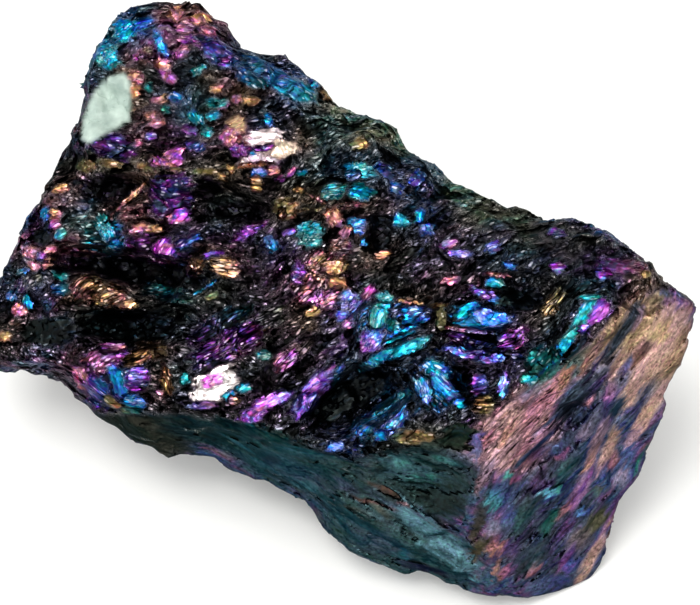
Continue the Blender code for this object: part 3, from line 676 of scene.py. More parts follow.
    "orangeFan": (-0.6, 1.4, 0.52, 0.32, 15, 0.20, "copper", "gold", 0.72, 0.5),
    "magentaFan": (-1.0, 0.1, 0.76, 0.40, 25, 0.20, "magenta", "rose", 0.82, 1.1),
    "yellowFoot": (-1.5, -0.4, 0.32, 0.20, 20, 0.25, "gold", "gold", 0.90, 0.0),
    "brownFan": (-0.4, 2.2, 0.48, 0.40, 0, 0.10, "copper", "rose", 0.18, 0.5),
    "violetFan": (-2.1, 1.2, 0.32, 0.44, 0, 0.10, "violet", "magenta", 0.39, 0.5),
    "blueCrumbs": (0.1, -0.0, 0.56, 0.52, 30, 0.15, "blue", "violet", 0.54, 0.3),
    "blueCrumbLow": (-0.3, -0.5, 0.28, 0.24, 0, 0.15, "blue", "blue", 0.66, 0.0),
    "pinkFold": (0.8, 0.4, 0.32, 0.28, 60, 0.25, "rose", "magenta", 0.72, 0.3),
    "lilacPair": (0.0, -0.8, 0.36, 0.24, 25, 0.20, "rose", "magenta", 0.69, 0.0),
    "blueFan": (1.3, -0.8, 1.19, 1.03, 30, 0.05, "cyan", "blue", 0.30, 0.9),
    "cyanFold": (1.2, -0.4, 0.75, 0.36, 72, 0.35, "teal", "teal", 0.80, -0.4),
    "cyanFoldTop": (1.4, 0.2, 0.40, 0.24, -10, 0.20, "teal", "teal", 0.51, 0.0),
    "cyanFoldRight": (1.7, -0.9, 0.32, 0.24, 0, 0.10, "teal", "teal", 0.36, 0.0),
    "blueBlock": (2.6, -0.5, 0.63, 0.40, 3, 0.30, "blue", "blue", 0.70, 0.8),
    "fineLineHigh": (2.1, -1.1, 0.79, 0.08, 20, 0.25, "cyan", "cyan", 0.78, 0.0),
    "fineLineLow": (1.9, -1.4, 0.71, 0.08, 22, 0.25, "teal", "cyan", 0.72, 0.0),
    "cyanBandHigh": (2.3, -1.8, 1.02, 0.26, 22, 0.40, "cyan", "teal", 0.90, -0.4),
    "cyanBandFoot": (1.0, -2.3, 0.79, 0.26, 30, 0.35, "teal", "cyan", 0.90, -0.4),
    "violetCrumbsLeft": (0.8, -1.5, 0.55, 0.44, 30, 0.15, "violet", "blue", 0.45, 0.0),
    "peachRim": (2.4, 0.0, 0.60, 0.10, -6, 0.30, "copper", "copper", 0.90, 0.0),
    "goldRim": (3.5, -0.1, 0.36, 0.09, 8, 0.30, "gold", "gold", 0.84, 0.0),
    "cavityShade": (-0.1, -3.8, 1.77, 0.64, 35, -0.30, "teal", "blue", 0.01, 0.0),
    "cyanBandLow": (1.6, -4.1, 1.20, 0.30, 34, 0.40, "cyan", "teal", 0.90, -0.3),
    "cyanBandLowFoot": (1.8, -4.6, 0.79, 0.43, 60, 0.25, "cyan", "blue", 0.70, 0.5),
    "blueFoot": (0.6, -4.8, 0.64, 0.36, 40, 0.20, "blue", "cyan", 0.62, 0.4),
    "cyanFootDrop": (1.2, -5.2, 0.28, 0.24, 0, 0.20, "cyan", "cyan", 0.66, 0.0),
    "blueLump": (-0.6, -5.7, 0.36, 0.24, -10, 0.25, "blue", "blue", 0.72, 0.0),
    "blueLumpsField": (3.4, -3.2, 1.10, 0.95, -45, 0.05, "blue", "cyan", 0.26, 0.9),
    "blueLumpsHigh": (3.4, -2.7, 0.63, 0.36, -25, 0.25, "cyan", "blue", 0.66, 0.3),
    "blueLumpsMiddle": (3.7, -3.3, 0.71, 0.36, -48, 0.30, "cyan", "blue", 0.66, 0.3),
    "blueLumpsLeft": (2.9, -3.4, 0.59, 0.32, -70, 0.25, "cyan", "blue", 0.66, 0.3),
    "blueLumpsTail": (4.3, -4.0, 0.24, 0.20, 0, 0.20, "cyan", "cyan", 0.66, 0.0),
    "violetLumpsRight": (5.1, -3.3, 0.36, 0.55, 0, 0.05, "violet", "blue", 0.30, 0.0),
    "lensField": (5.4, -1.7, 1.74, 0.55, -8, 0.00, "violet", "blue", 0.22, 0.9),
    "bigBlueLens": (5.2, -0.6, 1.34, 0.47, -8, 0.35, "cyan", "blue", 0.66, -0.7),
    "lensTop": (4.6, -0.3, 0.55, 0.28, 30, 0.40, "cyan", "cyan", 0.78, -0.5),
    "lensBlue": (5.5, -0.6, 0.79, 0.32, -14, 0.30, "blue", "blue", 0.66, -0.5),
    "lensRim": (5.0, -1.2, 1.27, 0.10, -9, 0.35, "rose", "cyan", 0.90, 0.0),
    "lensShadow": (5.4, -1.4, 0.87, 0.12, -9, -0.20, "violet", "blue", 0.02, 0.0),
    "stripedVioletEnd": (6.4, -1.4, 0.67, 0.43, 25, 0.20, "violet", "magenta", 0.51, 1.0),
    "violetStreakLong": (4.6, -2.0, 1.19, 0.22, -8, 0.20, "blue", "violet", 0.58, 0.2),
    "violetStreakEnd": (5.5, -2.2, 0.59, 0.20, -3, 0.25, "violet", "blue", 0.72, 0.0),
    "cyanSpotHigh": (5.8, 0.8, 0.40, 0.20, -8, 0.20, "cyan", "teal", 0.60, 0.0),
    "violetStreaksHigh": (5.4, 0.3, 0.79, 0.20, -25, 0.15, "violet", "blue", 0.54, 0.3),
    "peachLine": (5.9, 1.1, 0.56, 0.09, -8, 0.20, "rose", "copper", 0.66, 0.0),
    # upper middle
    "tealHigh": (-0.7, 4.5, 0.64, 0.44, 0, 0.20, "teal", "teal", 0.50, 0.7),
    "cyanHigh": (0.4, 5.3, 0.69, 0.36, -5, 0.30, "cyan", "teal", 0.72, 0.0),
    "tealMiddle": (0.5, 4.4, 0.56, 0.40, -20, 0.15, "teal", "teal", 0.46, 0.6),
    "cyanMiddle": (0.2, 3.1, 0.48, 0.40, -10, 0.30, "cyan", "blue", 0.70, 0.4),
    "cyanSmall": (0.6, 2.4, 0.16, 0.16, 0, 0.10, "cyan", "teal", 0.60, 0.0),
    "cyanRight": (2.0, 3.3, 0.36, 0.36, -50, 0.20, "cyan", "teal", 0.57, 0.0),
    "cyanFarRight": (2.8, 3.5, 0.32, 0.20, 80, 0.30, "cyan", "cyan", 0.72, 0.0),
    "blueFarRight": (3.1, 2.9, 0.36, 0.28, 0, 0.15, "blue", "blue", 0.51, 0.0),
    "blueHigh": (1.9, 4.6, 0.32, 0.24, -20, 0.10, "blue", "blue", 0.36, 0.0),
    "blueDimHigh": (1.4, 5.3, 0.48, 0.24, -45, 0.05, "blue", "blue", 0.21, 0.0),
    "paleRimLine": (-0.6, 3.8, 1.53, 0.13, 4, 0.25, "olive", "dust", 0.74, 1.0),
    "paleRimLineHigh": (-1.5, 4.3, 0.65, 0.08, -30, 0.20, "olive", "dust", 0.66, 0.6),
    "paleRimLineLow": (-2.0, 3.7, 0.56, 0.08, 12, 0.20, "dust", "olive", 0.60, 0.8),
    "blueGapHigh": (0.1, 5.1, 0.32, 0.24, 0, 0.10, "blue", "blue", 0.34, 0.0),
    "deepBlueKnob": (2.7, 5.0, 0.48, 0.32, 50, 0.15, "blue", "blue", 0.44, 0.2),
    "goldSpeckHigh": (-2.1, 4.6, 0.24, 0.16, 0, 0.15, "gold", "gold", 0.60, 0.0),
    "tealSpeckHigh": (-2.0, 5.3, 0.28, 0.16, 0, 0.10, "teal", "teal", 0.46, 0.0),
    "lilacSpeckMiddle": (-2.5, 2.8, 0.32, 0.16, 20, 0.15, "magenta", "violet", 0.50, 0.0),
    "roseSpeckMiddle": (-0.2, 2.8, 0.28, 0.24, 60, 0.15, "rose", "copper", 0.60, 0.6),
    "holeShade": (1.2, 2.8, 0.48, 0.72, 0, -0.50, "violet", "blue", 0.01, 0.0),
    "goldTip": (1.3, 1.9, 0.32, 0.16, 5, 0.25, "gold", "copper", 0.78, 0.0),
    "tealGrains": (-1.6, 2.8, 0.60, 0.56, 0, 0.10, "teal", "teal", 0.27, 0.0),
    "roseGrains": (-0.6, 3.4, 0.44, 0.36, -60, 0.15, "copper", "rose", 0.45, 0.0),
    "oliveGrains": (-2.6, 3.8, 0.57, 0.49, 0, 0.15, "olive", "gold", 0.30, 0.0),
    "brownPit": (-2.7, 3.6, 0.20, 0.24, 0, -0.10, "copper", "copper", 0.12, 0.0),
    "violetSmallA": (4.0, 2.3, 0.40, 0.16, 20, 0.15, "violet", "rose", 0.60, 0.0),
    "violetSmallB": (4.4, 1.9, 0.52, 0.16, 0, 0.15, "violet", "blue", 0.54, 0.0),
    "roseSmall": (4.0, 0.9, 0.44, 0.20, 8, 0.15, "rose", "rose", 0.48, 0.5),
    "blueSmallA": (5.7, 2.2, 0.32, 0.24, 20, 0.20, "blue", "violet", 0.60, 0.0),
    "blueSmallB": (6.4, 1.4, 0.32, 0.16, -30, 0.20, "cyan", "blue", 0.60, 0.0),
    "lilacSmall": (8.2, 1.4, 0.32, 0.24, 0, 0.15, "violet", "violet", 0.45, 0.0),
    "lilacRim": (8.2, 2.8, 0.40, 0.20, 0, 0.05, "violet", "violet", 0.27, 0.0),
    "violetPatch": (10.0, 1.2, 0.39, 0.32, -5, 0.15, "violet", "violet", 0.54, 0.0),
    "violetPatchWide": (10.8, 1.4, 1.03, 0.36, -8, 0.05, "violet", "rose", 0.21, 0.0),
    "paleTip": (11.7, 1.1, 0.24, 0.16, 20, 0.15, "gold", "olive", 0.60, 0.0),
    "goldSpeckle": (8.0, -0.0, 0.71, 0.28, 55, 0.20, "gold", "olive", 0.46, 1.0),
    "peacockViolet": (9.6, -0.3, 0.63, 0.55, 45, 0.35, "violet", "magenta", 0.90, 0.3),
    "peacockTeal": (9.1, -0.5, 1.02, 0.25, 60, 0.35, "teal", "cyan", 0.84, 0.0),
    "peacockTealFoot": (8.4, -1.6, 0.78, 0.23, 50, 0.30, "cyan", "teal", 0.70, 0.0),
    "peacockTop": (9.4, 0.2, 0.39, 0.16, 0, 0.25, "teal", "cyan", 0.60, 0.0),
    "peacockBlue": (9.2, -1.1, 0.27, 0.23, 0, 0.20, "violet", "blue", 0.60, 0.0),
    "tealFacetDark": (7.6, -2.4, 0.78, 0.67, 45, 0.00, "teal", "teal", 0.18, 0.0),
    "cyanSpotRight": (7.0, -3.0, 0.35, 0.24, 0, 0.15, "cyan", "teal", 0.57, 0.0),
    "blueWhiteSpot": (6.0, -3.3, 0.51, 0.20, 82, 0.25, "cyan", "violet", 0.84, 0.0),
    "hollowShadeRight": (6.7, 0.2, 0.87, 0.48, 0, -0.20, "teal", "blue", 0.02, 0.0),
    "hollowShadeLow": (4.3, -5.3, 0.87, 0.55, 0, -0.30, "green", "green", 0.04, 0.0),
    "oliveCrumbsLow": (2.5, -5.3, 0.87, 0.36, 0, 0.15, "olive", "gold", 0.27, 0.0),
    "oliveCrumbsRight": (5.3, -4.1, 0.43, 0.43, 0, 0.20, "gold", "olive", 0.24, 1.0),
    "greenDust": (3.6, -0.6, 0.24, 0.55, 0, 0.10, "olive", "olive", 0.30, 0.0),
    # undercut front
    "sheetUpper": (-2.4, -6.9, 2.20, 0.65, -24, 0.00, "slate", "steel", 0.17, 0.2),
    "sheetUpperTeal": (-1.8, -7.5, 0.82, 0.29, -24, 0.00, "slate", "slate", 0.24, 0.1),
    "sheetUpperSpot": (-3.2, -6.4, 0.49, 0.24, -20, 0.00, "steel", "steel", 0.09, 0.2),
    "speckledBand": (-1.8, -6.0, 1.44, 0.20, -12, 0.05, "slate", "slate", 0.15, 0.1),
    "sillTeal": (-3.5, -5.2, 1.52, 0.32, -14, 0.00, "slate", "teal", 0.06, 0.3),
    "sillDark": (-4.9, -4.9, 0.72, 0.20, -20, -0.05, "teal", "slate", 0.03, 0.3),
    "sillLine": (-4.3, -5.9, 1.14, 0.07, -32, 0.06, "slate", "slate", 0.22, 0.0),
    "sillLineLow": (-3.6, -6.1, 0.81, 0.06, -6, 0.06, "slate", "slate", 0.16, 0.0),
    "palePanel": (-0.2, -7.4, 0.69, 0.28, -30, 0.00, "steel", "steel", 0.17, 0.1),
    "creviceHigh": (1.5, -7.6, 1.05, 0.14, -28, -0.14, "copper", "copper", 0.03, 0.0),
    "creviceLow": (0.9, -8.1, 0.97, 0.10, -16, -0.12, "copper", "rose", 0.04, 0.0),
    "rustNotch": (2.1, -8.1, 0.40, 0.10, -12, -0.05, "rose", "copper", 0.08, 0.0),
    "oliveStreak": (1.5, -8.6, 0.89, 0.18, -34, 0.03, "olive", "slate", 0.18, 0.2),
    "sandStreak": (0.5, -8.5, 1.05, 0.12, -18, 0.03, "olive", "slate", 0.16, 0.2),
    "undercutShade": (3.2, -8.0, 1.45, 0.60, -36, -0.05, "teal", "slate", 0.03, 0.1),
    "slateSlab": (3.7, -9.7, 2.20, 0.61, -39, 0.04, "slate", "slate", 0.34, 0.1),
    "slabTop": (2.7, -8.8, 0.97, 0.24, -38, 0.02, "slate", "slate", 0.38, 0.0),
    "slabRidgeLow": (4.2, -10.7, 2.37, 0.09, -33, 0.06, "slate", "slate", 0.42, 0.0),
    "slabRidgeHigh": (2.5, -8.2, 1.37, 0.07, -40, 0.05, "slate", "slate", 0.36, 0.0),
    "slabSpecks": (3.3, -9.7, 1.06, 0.12, -38, -0.02, "slate", "slate", 0.20, 0.0),
    "lowSheet": (0.7, -9.6, 1.88, 0.65, -34, 0.00, "slate", "steel", 0.15, 0.1),
    "lowSheetBlue": (1.9, -10.1, 1.15, 0.33, -28, 0.00, "steel", "slate", 0.16, 0.1),
    "lowSheetTeal": (2.1, -10.3, 0.33, 0.25, 0, 0.00, "teal", "cyan", 0.22, 0.0),
    "lowSheetPale": (-0.1, -8.9, 1.06, 0.20, -20, 0.00, "slate", "slate", 0.20, 0.1),
    "lowDark": (3.3, -11.0, 1.24, 0.21, -14, 0.00, "violet", "steel", 0.04, 0.0),
    "tealScoop": (2.6, -6.8, 1.72, 0.76, -10, 0.00, "slate", "slate", 0.15, 0.1),
    "tealScoopLight": (2.0, -6.4, 0.44, 0.32, 10, 0.00, "slate", "teal", 0.26, 0.0),
    "tealScoopLens": (3.3, -6.5, 0.88, 0.14, -18, -0.10, "teal", "slate", 0.03, 0.0),
    "tealScoopFloor": (3.8, -6.3, 0.72, 0.16, -22, -0.02, "teal", "slate", 0.17, 0.0),
    "tealScoopGlow": (3.0, -7.0, 0.56, 0.12, -4, 0.00, "teal", "teal", 0.25, 0.0),
    "tealScoopGroove": (3.3, -7.3, 1.45, 0.10, -7, -0.10, "teal", "teal", 0.02, 0.0),
    "tealScoopFoot": (2.6, -7.2, 0.96, 0.08, -8, 0.03, "slate", "teal", 0.16, 0.0),
    # broken end
    "roseUpper": (7.8, -3.7, 1.58, 0.55, 48, 0.03, "dust", "rose", 0.56, 1.3),
    "roseMiddle": (6.8, -4.8, 1.74, 0.51, 50, 0.03, "dust", "rose", 0.54, 1.3),
    "roseLower": (6.0, -5.9, 1.35, 0.56, 54, 0.02, "dust", "dust", 0.48, 1.3),
    "roseTail": (5.3, -7.0, 0.80, 0.28, 56, 0.02, "dust", "mauve", 0.26, 1.2),
    "roseBand": (7.6, -5.2, 1.75, 0.24, 41, 0.03, "rose", "mauve", 0.42, 1.2),
    "copperFringe": (6.4, -4.8, 1.18, 0.28, 62, 0.02, "copper", "dust", 0.46, 1.2),
    "orangeTop": (8.4, -3.1, 0.59, 0.31, 60, 0.03, "copper", "tan", 0.52, 1.2),
    "endGroove": (7.3, -5.9, 1.44, 0.12, 42, -0.03, "steel", "blue", 0.12, 0.2),
    "endGrooveHigh": (8.0, -4.7, 1.03, 0.10, 42, -0.02, "steel", "blue", 0.14, 0.2),
    "mauveSpot": (7.6, -6.0, 0.64, 0.24, 34, 0.00, "magenta", "steel", 0.27, 0.3),
    "darkShelf": (8.8, -3.9, 1.19, 0.48, 50, -0.02, "steel", "steel", 0.12, 1.1),
    "darkShelfLow": (9.6, -4.9, 1.04, 0.36, 52, 0.00, "mauve", "steel", 0.30, 0.3),
    "lilacRun": (10.0, -5.4, 1.21, 0.28, 62, 0.00, "dust", "mauve", 0.50, 0.3),
    "roseCrumb": (9.5, -4.0, 0.40, 0.20, 50, 0.03, "dust", "rose", 0.46, 0.3),
    "orangeStreak": (9.7, -6.4, 0.89, 0.18, 62, 0.04, "copper", "dust", 0.62, 0.8),
    "magentaStreak": (9.4, -7.7, 1.06, 0.33, 62, 0.02, "magenta", "mauve", 0.42, 0.2),
    "violetStreak": (9.6, -7.3, 1.06, 0.12, 64, 0.02, "violet", "magenta", 0.32, 0.3),
    "roseStreakLow": (8.6, -8.6, 0.65, 0.24, 46, 0.02, "dust", "rose", 0.34, 0.3),
    "lilacSpot": (10.2, -6.7, 0.49, 0.20, 66, 0.00, "mauve", "violet", 0.32, 0.2),
    "tanSheen": (12.2, -1.9, 2.23, 0.80, 62, 0.00, "tan", "dust", 0.68, 0.2),
    "tanSheenLow": (11.3, -3.4, 1.20, 0.44, 66, 0.00, "tan", "dust", 0.56, 0.2),
    "tanHeart": (12.4, -1.1, 0.64, 0.48, 62, 0.00, "goldTan", "tan", 0.70, 0.1),
    "pinkEdgeTan": (12.4, -4.0, 1.06, 0.41, 54, 0.00, "tan", "dust", 0.50, 0.2),
    "pinkLow": (10.5, -5.9, 1.30, 0.37, 66, 0.00, "dust", "tan", 0.50, 0.3),
    "roseFoot": (10.7, -6.5, 0.49, 0.29, 60, 0.00, "rose", "dust", 0.37, 0.2),
    "magentaSpotEnd": (10.4, -3.5, 0.40, 0.24, 62, 0.03, "magenta", "mauve", 0.45, 0.2),
    "tanLeftRun": (10.6, -2.6, 1.19, 0.28, 64, 0.02, "dust", "tan", 0.48, 0.4),
    "darkFleck": (11.6, -1.9, 0.79, 0.32, 52, -0.02, "copper", "dust", 0.14, 0.3),
    "darkFleckLow": (11.1, -2.4, 0.56, 0.16, 58, -0.05, "violet", "steel", 0.12, 0.3),
    "darkFleckFoot": (10.7, -4.2, 0.56, 0.20, 62, -0.03, "steel", "steel", 0.14, 0.3),
    "goldFleck": (12.0, -1.3, 0.36, 0.20, 20, 0.00, "gold", "goldTan", 0.53, 0.0),
    "pinkTopRun": (11.4, -0.6, 0.79, 0.20, 62, 0.00, "dust", "mauve", 0.40, 0.4),
    "copperRun": (9.4, -2.2, 1.02, 0.20, 60, 0.04, "copper", "dust", 0.50, 1.1),
    "violetGap": (9.8, -2.3, 1.03, 0.12, 62, -0.06, "violet", "steel", 0.14, 0.3),
    "darkRunHigh": (10.7, -1.2, 1.42, 0.28, 60, -0.04, "steel", "steel", 0.10, 1.2),
    "darkRunLow": (8.8, -1.9, 0.94, 0.12, 54, -0.08, "teal", "steel", 0.05, 0.4),
    "paleRun": (10.0, -1.9, 0.87, 0.06, 58, 0.06, "dust", "steel", 0.31, 0.0),
    "paleRunHigh": (10.8, -0.5, 1.10, 0.07, 60, 0.06, "olive", "dust", 0.29, 0.0),
    "brownTop": (12.1, 0.1, 0.56, 0.28, 40, 0.00, "tan", "olive", 0.43, 0.2),
    "blueEdgeEnd": (11.3, -6.4, 1.15, 0.37, 70, 0.00, "steel", "blue", 0.34, 0.2),
    "pinkEdgeLow": (11.9, -4.8, 0.65, 0.41, 60, 0.00, "dust", "tan", 0.52, 0.2),
    "mauveEdgeEnd": (11.5, -5.6, 0.41, 0.29, 60, 0.00, "mauve", "dust", 0.42, 0.2),
    "steelEdgeEnd": (11.1, -7.3, 0.74, 0.37, 70, 0.00, "steel", "mauve", 0.40, 0.2),
    "tealSmearEnd": (8.7, -6.7, 1.05, 0.32, 56, 0.00, "teal", "steel", 0.14, 0.2),
    "blueSmearEnd": (8.4, -5.8, 0.88, 0.28, 48, 0.00, "blue", "steel", 0.16, 0.2),
    "tealSmearLow": (8.1, -9.0, 0.74, 0.33, 56, 0.00, "teal", "teal", 0.12, 0.2),
    "blueSmearLow": (9.9, -9.8, 0.91, 0.29, 60, 0.00, "steel", "blue", 0.18, 0.2),
    "darkLipEnd": (5.4, -7.9, 1.20, 0.12, 74, -0.03, "steel", "steel", 0.05, 0.4),
    "roseKnotEnd": (8.5, -2.7, 0.35, 0.20, 50, 0.03, "copper", "copper", 0.52, 0.6),
    "pinkKnotEnd": (8.4, -6.2, 0.48, 0.16, 48, 0.02, "rose", "magenta", 0.34, 0.3),
    "tealEdgeEnd": (11.9, -6.6, 0.83, 0.12, 72, 0.00, "teal", "teal", 0.27, 0.0),
    "greySpotEnd": (10.1, -7.7, 0.33, 0.29, 60, 0.00, "slate", "olive", 0.27, 0.0),
    "oliveShadeEnd": (10.2, -9.0, 0.83, 0.41, 54, 0.00, "olive", "olive", 0.26, 0.2),
    "blueSpotEnd": (9.5, -8.6, 0.33, 0.16, 0, 0.03, "cyan", "blue", 0.44, 0.0),
    "slateShadeEnd": (9.4, -9.8, 0.91, 0.50, 50, 0.00, "mauve", "olive", 0.30, 0.2),
    "tanEdgeLow": (10.1, -10.5, 1.25, 0.37, 62, 0.00, "tan", "dust", 0.50, 0.2),
    "tanEdgeFoot": (9.6, -11.5, 0.50, 0.25, 50, 0.00, "dust", "tan", 0.42, 0.2),
    "magentaLow": (8.9, -10.6, 0.66, 0.21, 58, 0.02, "magenta", "violet", 0.30, 0.2),
    "violetLow": (9.1, -10.9, 0.50, 0.25, 64, 0.00, "violet", "blue", 0.29, 0.2),
    "slateLow": (7.5, -10.5, 1.07, 0.53, 62, 0.00, "slate", "steel", 0.09, 0.2),
    "tealFieldEnd": (6.2, -7.7, 0.80, 0.60, 60, 0.00, "blue", "steel", 0.22, 0.2),
    "tealGlintField": (5.7, -7.9, 0.40, 0.56, 60, 0.02, "teal", "cyan", 0.40, 0.6),
    "tealKnobEnd": (6.3, -6.9, 0.32, 0.16, 30, 0.03, "teal", "teal", 0.40, 0.0),
    "roseKnobEnd": (6.6, -7.1, 0.32, 0.20, 20, 0.04, "rose", "magenta", 0.40, 0.2),
    "tealSparkles": (7.9, -7.7, 0.52, 0.16, 10, 0.06, "teal", "cyan", 0.78, 0.0),
    "tealSparkleHigh": (8.4, -7.6, 0.24, 0.12, 20, 0.06, "teal", "teal", 0.55, 0.0),
    "steelFieldEnd": (7.0, -8.5, 1.05, 0.57, 55, 0.00, "teal", "steel", 0.10, 0.2),
    "lilacPanel": (5.8, -9.1, 0.57, 0.32, 80, 0.02, "mauve", "steel", 0.37, 0.3),
    "bluePanelLow": (6.4, -8.8, 0.65, 0.32, 70, 0.00, "steel", "blue", 0.24, 0.3),
    "rosePatchEnd": (5.9, -9.9, 0.53, 0.41, 66, 0.03, "copper", "rose", 0.50, 1.0),
    "rosePatchTail": (6.0, -10.8, 0.49, 0.12, 76, 0.04, "copper", "dust", 0.30, 0.5),
    "violetPatchEnd": (6.6, -10.2, 0.49, 0.24, 60, 0.00, "mauve", "violet", 0.24, 0.3),
    "copperFootEnd": (6.3, -11.1, 0.49, 0.16, 48, 0.03, "copper", "magenta", 0.29, 0.3),
    "roseFootEnd": (7.6, -11.0, 0.49, 0.21, 52, 0.03, "rose", "dust", 0.35, 0.3),
    "blueFootEnd": (8.2, -11.7, 1.16, 0.37, 8, 0.00, "steel", "blue", 0.27, 0.2),
    "darkEdgeRuns": (5.2, -8.8, 1.21, 0.28, 78, -0.05, "gold", "steel", 0.06, 0.4),
    "brownEdgeRuns": (5.3, -9.9, 0.65, 0.32, 60, -0.03, "gold", "olive", 0.11, 0.2),
    "lilacEdgeEnd": (5.0, -5.7, 0.71, 0.28, 76, 0.00, "steel", "violet", 0.40, 0.2),
    "darkLowRun": (7.1, -10.8, 0.66, 0.16, 50, -0.06, "steel", "steel", 0.05, 0.2),
}


def fracture(piece):
    mesh = piece.data
    points = readVertices(mesh, "co")
    normals = readVertices(mesh, "normal")
    s = surface(points, normals)
    heights, found = s["heights"], s["found"]
    dome = 0.09 * np.clip(1 - (found["grains"]["away"] ** 2).sum(axis=1) / 0.02, 0, 1) * s["field"][:, 5]
    fine = heights["chips"] + heights["grains"] + dome
    height = (heights["ledges"] + fine) * (1 - s["clean"] * (1 - breaking["cleanShare"]))
    # the slope, across and up, of a facet that throws the key light at the eye
    towardsKey = displayAxes() @ np.array(Vector(lights["keyPanel"]["towards"]).normalized())
    half = towardsKey + np.array((0, 0, 1))
    keySlope = -half[:2] / half[2]
    for across, up, halfLength, halfWidth, turn, lift, *films, shine, stripes in patches.values():
        near, along, reach = patchReach(
            s["flat"], across, up, halfLength, halfWidth, turn, 1.14, breaking["fringe"]
        )
        m = (1 - smoothStep(0.86, 1.14, reach)) * s["best"][near]
        if not m.any():
            continue
        lit = min(shine / 0.6, 1) ** 0.5 if shine > 0.18 else 0
        offset = s["flat"][near] - np.array((across, up, 0))
        knob = s["field"][near, 5] * (1 - s["clean"][near])
        rough = (0.16 + 0.3 * (1 - lit)) * fine[near] * (1 - 0.7 * s["clean"][near])
        plane = lift * 0.6 + 0.14 * (1 - lit) * offset[:, 1] + rough
        # a bright facet is turned to throw the key light at the eye; a knob is domed over that slope
        core = near[m > 0.5]
        centre = np.median(s["place"][core, 2]) if len(core) else 0
        turnedPlane = centre + keySlope[0] * offset[:, 0] + keySlope[1] * offset[:, 1] - s["place"][near, 2]
        turnedPlane = np.clip(turnedPlane, -breaking["facetDepth"], breaking["facetDepth"])
        turnedPlane = turnedPlane * (1 - 0.3 * knob) + lift * 0.5 + rough
        turnedPlane += (0.08 + 0.25 * abs(lift)) * knob * (1 - np.clip(reach, 0, 1) ** 2)
        facing = lit * (1 - s["clean"][near])
        height[near] = height[near] * (1 - m) + (plane * (1 - facing) + turnedPlane * facing) * m
    gangue = gangueShare(s)
    height = height * (1 - 0.85 * gangue)

    side = smoothStep(0.1, 0.6, -s["facing"]) * breaking["underShare"]
    depth = np.maximum(smoothStep(0.05, 0.45, s["facing"]), side)
    depth = (breaking["rimShare"] + (1 - breaking["rimShare"]) * depth) * s["grown"]
    best = s["best"][:, None]
    direction = normals * (1 - best) + displayAxes()[2] * best
    direction /= np.linalg.norm(direction, axis=1)[:, None]
    moved = points + direction * (height * depth * mm)[:, None]
    moved[:, 2] = np.maximum(moved[:, 2], 0)
    mesh.vertices.foreach_set("co", moved.ravel())
    for name, values in (("unbroken", points), ("facing", normals)):
        layer = mesh.attributes.new(name, "FLOAT_VECTOR", "POINT")
        layer.data.foreach_set("vector", values.astype(np.float32).ravel())
    group = piece.vertex_groups.new(name="hiddenSides")
    away = 1 - smoothStep(-0.1, 0.5, s["facing"])
    weight = np.round(0.1 + 0.9 * away, 1)
    for value in np.unique(weight):
        group.add(np.nonzero(weight == value)[0].tolist(), float(value), "REPLACE")
    mesh.update()


def thin(piece):
    piece.modifiers.new("triangles", "TRIANGULATE")
    bakeModifiers(piece)
    collapse = piece.modifiers.new("fewerFaces", "DECIMATE")
    collapse.ratio = min(1, stone["triangles"] / len(piece.data.polygons))
    collapse.vertex_group = "hiddenSides"
    collapse.vertex_group_factor = stone["hiddenFirst"]
    bakeModifiers(piece)
    piece.vertex_groups.clear()
    piece.data.shade_smooth()
    piece.data.set_sharp_from_angle(angle=math.radians(stone["sharpEdge"]))


# tarnished bornite: a dark metallic sulphide under an oxide film so thin that it splits light into peacock
# colours. Flakes, ridges, dashes and mottling are drawn coarser than real, so that they show. Lengths are in
# millimetres.
tarnish = {
    "bare": "191A18",  # dark sulphide under the film
    "ash": "8C948A",  # dusty oxidised rim
    "glare": "FFF4F2",  # painted glare: the whitish colour of the brightest facets
    "gangue": "E0F0E4",  # pale mineral on the head, from its lighter parts to its darker ones
    "gangueShade": "56706A",
    "gangueMottle": 0.6,  # size of those parts
    "flake": (0.23, 0.09),  # length and width of the finest facets
    "flakeHeight": 0.050,
    "hueSwing": 0.03,  # how much the hue changes from one of them to the next
    "ridge": (1.3, 0.13),  # length and spacing of the fine ridges
    "ridgeHeight": 0.040,
    "dash": (0.46, 0.115),  # length and width of the strokes along the grain, and of the glints in them
    "mottle": 0.16,  # size of the mottling of the film
    "crestPatch": 2.0,  # size of the parts where ridges have painted highlights on their crests
    "glintPale": 0.4,  # how far a glint fades to the palest colour
    "cleanGrey": 0.34,  # how far the clean faces lose their colour
    "halo": 0.8,  # how far the film of a patch spreads into the grains round it
    "grazing": (0.35, 0.40, 0.42, 1.0),  # the film is dark at grazing angles
}


def paintLayer(mesh, name, values):
    layer = mesh.attributes.new(name, "FLOAT_COLOR", "POINT")
    layer.data.foreach_set("color", np.clip(values, 0, 2).astype(np.float32).ravel())


